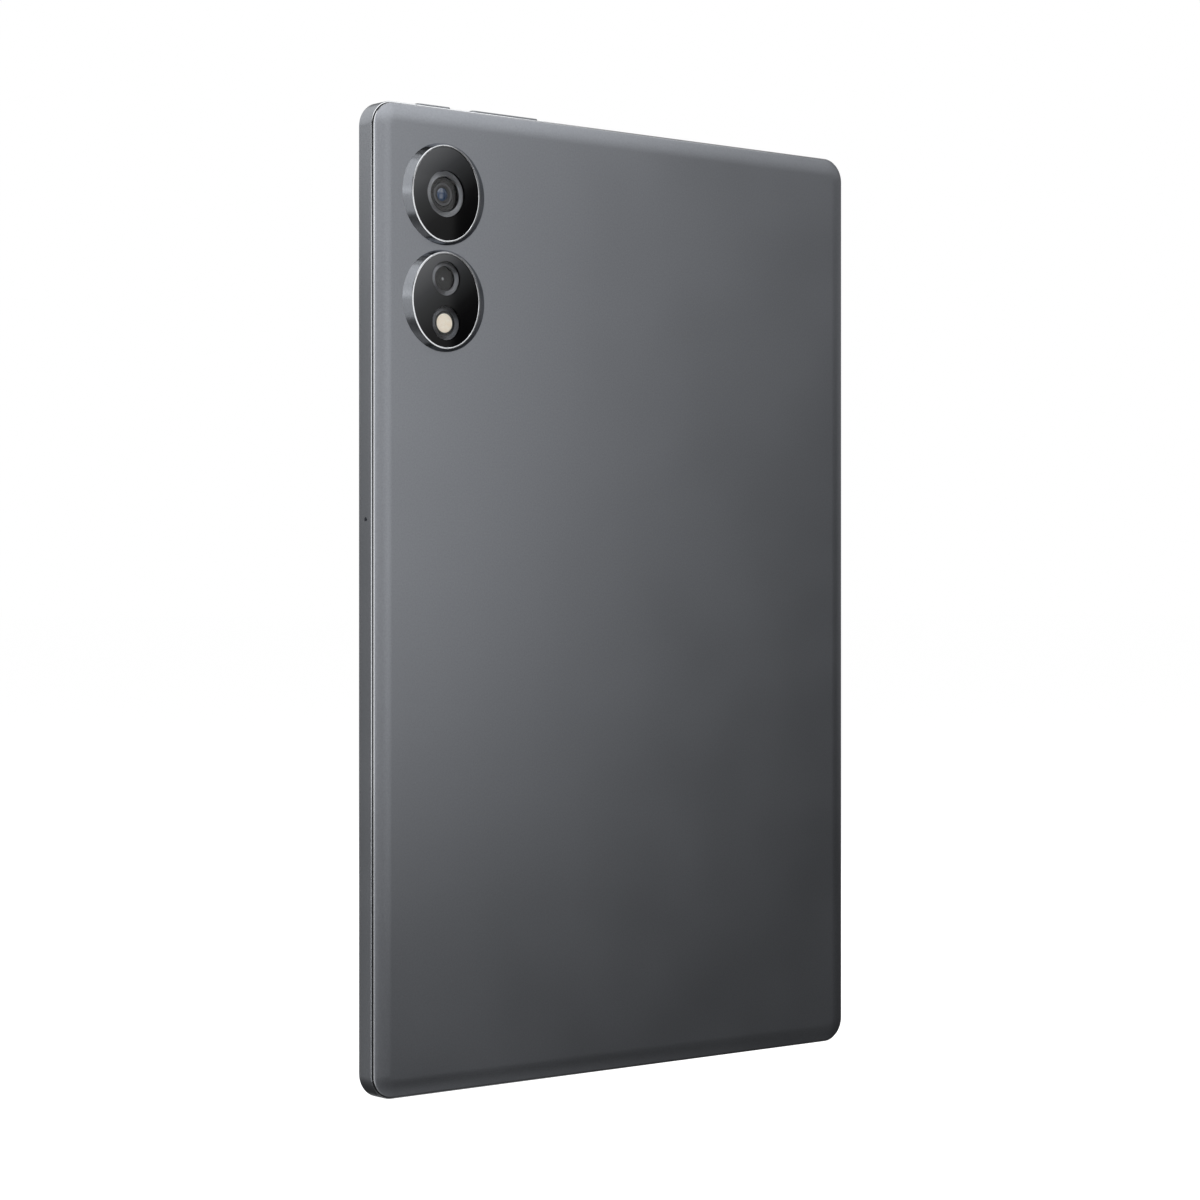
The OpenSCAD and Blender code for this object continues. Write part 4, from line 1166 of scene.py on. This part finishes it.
# %% The USB socket
SHELL = 0.3 * MM
SHELL_FLOOR = 0.8 * MM
LIP_EDGE, TONGUE_EDGE = 0.08 * MM, 0.15 * MM
CONTACTS = 12
CONTACT_PITCH = 0.5 * MM
PAD_HALF = Vector((0.13, 0.03, 0)) * MM
PAD_START, PAD_END = 0.4 * MM, 3.4 * MM
usb_x, usb_y, _ = middle("usb_c_shell")
usb_w, usb_h = usb_high.x - usb_low.x, usb_high.y - usb_low.y
shell = round_bar("usb_shell", usb_x, usb_y, usb_low.z, usb_high.z, usb_w, usb_h)
combine(shell, [round_bar("bore", usb_x, usb_y, usb_low.z - CUT, usb_high.z - SHELL_FLOOR,
                          usb_w - 2 * SHELL, usb_h - 2 * SHELL)])
edit(shell)
bevel_rim(shell, "z", usb_low.z, LIP_EDGE, 2, clamp=True)
leave()
smooth(shell, 32)
drawn_steel = polished_metal("nickel_plated_drawn_steel", "#b5b7ba", 0.28)
paint(shell, [drawn_steel])
place(shell, "tablet", "stamped_steel", "usb_c_shell")

tongue_low, tongue_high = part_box("usb_c_tongue")
tongue = block("usb_tongue", tongue_low, tongue_high)
edit(tongue)
bevel_rim(tongue, "z", tongue_low.z, TONGUE_EDGE, 3)
leave()
smooth(tongue, 30)
paint(tongue, [lens_black])
place(tongue, "tablet", "connector_plastic", "usb_c_tongue")

pads = []
for i in range(CONTACTS):
    x = usb_x + (i - (CONTACTS - 1) / 2) * CONTACT_PITCH
    for y in (tongue_low.y, tongue_high.y):
        pads.append(block("pad", Vector((x, y, tongue_low.z + PAD_START)) - PAD_HALF,
                          Vector((x, y, tongue_low.z + PAD_END)) + PAD_HALF))
contacts = joined(pads)
contacts.name = "usb_contacts"
gold = polished_metal("gold_plated_contacts", "#e5b756", 0.2)
paint(contacts, [gold])
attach(contacts, "tablet")
print(len(pads), "contacts")

# %% [markdown]
# ## Materials for the inside
# The inner solids keep their exact meshes and only get a finish. None of them shows while the
# tablet is closed, but each is what the real piece would be: green solder mask with copper
# tracks, amber polyimide ribbon with its conductors, dark pouch foil, tinned shields.

# %% Boards, ribbons, foils
def striped(name, dark, light, pitch, direction, **values):
    """Parallel conductors or threads at a real pitch, in metres."""
    material, tree, shader, coordinates = finish(name, dark, **values)
    wave = add(tree, "TexWave", {"Vector": coordinates, "Scale": WAVE / pitch},
               wave_type="BANDS", bands_direction=direction, wave_profile="SIN")
    two_tone(tree, shader, wave.outputs["Fac"], dark, light)
    bumped(tree, shader, wave.outputs["Fac"], FROST_DEPTH, 0.4)
    return material


def patched(name, dark, light, size, **values):
    """Angular patches, like copper areas under solder mask."""
    material, tree, shader, coordinates = finish(name, dark, **values)
    cells = add(tree, "TexVoronoi", {"Vector": coordinates, "Scale": 1 / size},
                distance="CHEBYCHEV")
    two_tone(tree, shader, ranged(tree, cells.outputs["Distance"], 0, 1), dark, light)
    return material


solder_mask = patched("green_solder_mask", "#123f2b", "#1d5a3e", 1.5 * MM, Roughness=0.35)
polyimide = striped("amber_polyimide_ribbon", "#8a4d12", "#b8742a", 0.5 * MM, "X", Roughness=0.35)
pouch = moulded("laminated_pouch_foil", "#2b2d31", "#34363b", 0.4, 2 * MM)
tinned = blasted_metal("tinned_steel_sheet", "#b9babb", "#c6c7c8", 0.3)
stamped = blasted_metal("stamped_stainless_steel", "#a3a5a8", "#b0b2b5", 0.28)
woven_mesh = striped("woven_steel_mesh", "#1c1d1f", "#4a4b4e", 0.12 * MM, "X", Metallic=0.8,
                     Roughness=0.5)
foil_back = blasted_metal("reflector_foil", "#c9cacc", "#d2d3d5", 0.2)
display_film = moulded("polarising_film", "#0c0d10", "#101115", 0.15)
graphite = moulded("rolled_graphite_sheet", "#26272a", "#303135", 0.5, 1 * MM)
paper_tape = moulded("cream_stretch_tape", "#d8d0bd", "#e2dbca", 0.7, 0.8 * MM)
black_board = patched("black_solder_mask_flash_board", "#0c0d0e", "#131416", 0.8 * MM,
                      Roughness=0.5)
cable_sheath = moulded("extruded_black_sheath", "#1a1b1c", "#222324", 0.5)

inner = {
    soft_rubber: ["rear_cover_gasket", "screen_adhesive", "microphone_boot"],
    lens_black: ["main_camera_mask", "second_camera_mask", "main_camera_module",
                 "second_camera_module", "front_camera_module", "light_sensor",
                 "board_connectors", *speakers],
    display_film: ["lcd_panel"],
    foil_back: ["backlight_unit"],
    polyimide: ["display_flex", "side_key_flex", "board_link_flex", "battery_lead"],
    stamped: ["side_key_domes", "side_key_bracket", "card_reader", "ejector_rod",
              "ejector_lever", "ejector_pivot", "microphone", "board_screws"],
    tinned: ["processor_shield", "power_shield"],
    solder_mask: ["main_board", "usb_board", "battery_circuit_board"],
    pouch: ["battery_left_cell", "battery_right_cell"],
    paper_tape: ["battery_adhesive"],
    black_board: ["flash_led"],
    woven_mesh: ["speaker_meshes"],
    graphite: ["heat_spreader"],
    cable_sheath: ["antenna_coax"],
}
for material, nodes in inner.items():
    for node in nodes:
        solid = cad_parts[node]
        solid.data.materials.clear()
        solid.data.materials.append(material)
print(sum(len(nodes) for nodes in inner.values()), "inner solids finished")

# %% [markdown]
# ## Studio
# The tablet stands on a pale sweep in front of white. Satin metal shows what it faces, so the
# light is a few large, soft panels: the strongest high on the side that the back looks at,
# which makes the back fade from bright at the top to dark at the foot. The floor and the white
# surround are kept out of the reflections, or they would wash that fade out.

# %% Camera
scene = bpy.context.scene
CAMERA_FROM_EDGE = Vector((439.87, 617.21, 0)) * MM
VIEW_AZIMUTH = radians(140.09)
FOCAL_LENGTH, SENSOR_WIDTH = 88.52, 36
near_edge = Vector((frame_high.x, frame_high.y, middle_z))
looking = Vector((-sin(VIEW_AZIMUTH), cos(VIEW_AZIMUTH), 0))
camera_data = bpy.data.cameras.new("studio_camera")
camera_data.lens = FOCAL_LENGTH
camera_data.sensor_width = SENSOR_WIDTH
camera_data.clip_start = 0.01
camera = bpy.data.objects.new("studio_camera", camera_data)
camera.location = near_edge + CAMERA_FROM_EDGE
camera.rotation_mode = "QUATERNION"
camera.rotation_quaternion = looking.to_track_quat("-Z", "Y")
scene.collection.objects.link(camera)
scene.camera = camera
print("camera", [round(v, 3) for v in camera.location])

# %% Floor and white surround
FLOOR_SIZE = 40
FLOOR_GAP = 0.02 * MM
FLOOR_GLOW = 0.97
bpy.ops.object.select_all(action="DESELECT")
bpy.ops.mesh.primitive_plane_add(size=FLOOR_SIZE, location=(0, 0, frame_low.z - FLOOR_GAP))
floor = named("pale_floor")
pale, _, shader, _ = finish("pale_studio_floor", "#f4f4f4", Roughness=0.9)
shader.inputs["Emission Color"].default_value = linear("#ffffff")
shader.inputs["Emission Strength"].default_value = FLOOR_GLOW
paint(floor, [pale])
for ray in ("diffuse", "glossy", "transmission", "shadow"):
    setattr(floor, "visible_" + ray, False)
floor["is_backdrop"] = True

world = bpy.data.worlds.new("white_surround")
scene.world = world
world.use_nodes = True
tree = world.node_tree
shown = add(tree, "LightPath", {}).outputs["Is Camera Ray"]
dim = add(tree, "Background", {"Color": linear("#ffffff"), "Strength": 0.03})
white = add(tree, "Background", {"Color": linear("#ffffff"), "Strength": 1.0})
both = add(tree, "MixShader", {"Fac": shown})
tree.links.new(dim.outputs[0], both.inputs[1])
tree.links.new(white.outputs[0], both.inputs[2])
tree.links.new(both.outputs[0], tree.nodes["World Output"].inputs["Surface"])
scene.view_settings.view_transform = "Standard"

# %% Light panels
aim = Vector((0, 0, middle_z))
PANEL_DISTANCE = 0.6
WATTS = pi


def panel(name, azimuth, elevation, size, brightness):
    """A soft panel that faces the tablet; azimuth 0 is straight behind it, 90 its +X side."""
    turn, rise = radians(azimuth), radians(elevation)
    away = Vector((sin(turn) * cos(rise), cos(turn) * cos(rise), sin(rise)))
    data = bpy.data.lights.new(name, "AREA")
    data.shape = "RECTANGLE"
    data.size, data.size_y = size
    data.energy = WATTS * brightness * size[0] * size[1]
    light = bpy.data.objects.new(name, data)
    light.location = aim + away * PANEL_DISTANCE
    light.rotation_mode = "QUATERNION"
    light.rotation_quaternion = (-away).to_track_quat("-Z", "Y")
    light.visible_camera = False
    scene.collection.objects.link(light)


TALL, WIDE, BROAD, SMALL = (0.30, 0.65), (0.75, 0.30), (0.50, 0.45), (0.30, 0.30)
panels = [
    ("high_key", -14, 50, BROAD, 1.40), ("high_key_strip", -14, 50, TALL, 0.79),
    ("low_key", -18, 5, SMALL, 1.1), ("side_strip", 36, 5, WIDE, 0.78),
    ("high_side", 45, 35, BROAD, 1.25), ("edge_high", 104, 20, BROAD, 0.95),
    ("edge_low", 85, -15, BROAD, 2.7), ("far_high", -69, 50, TALL, 0.38),
    ("far_low", -108, 5, WIDE, 0.23), ("far_middle", -66, 20, WIDE, 0.08),
    ("overhead", -90, 65, SMALL, 0.5), ("from_floor", 0, -60, WIDE, 0.24),
    ("low_side", 47, -15, TALL, 0.5), ("edge_fill", 132, -2, TALL, 0.17),
    ("screen_high", 160, 40, BROAD, 1.0), ("screen_low", -150, -12, TALL, 0.5),
]
for settings in panels:
    panel(*settings)
print(len(panels), "light panels")

# %% [markdown]
# ## Sizes
# The last cell prints the size of the exact model and of the finished one side by side.

# %% Print both sizes
final_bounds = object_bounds()
sizes = {"cad": [list(p) for p in cad_bounds], "visual": [list(p) for p in final_bounds]}
for key, (low, high) in sizes.items():
    print(key, [round((b - a) / MM, 3) for a, b in zip(low, high)])
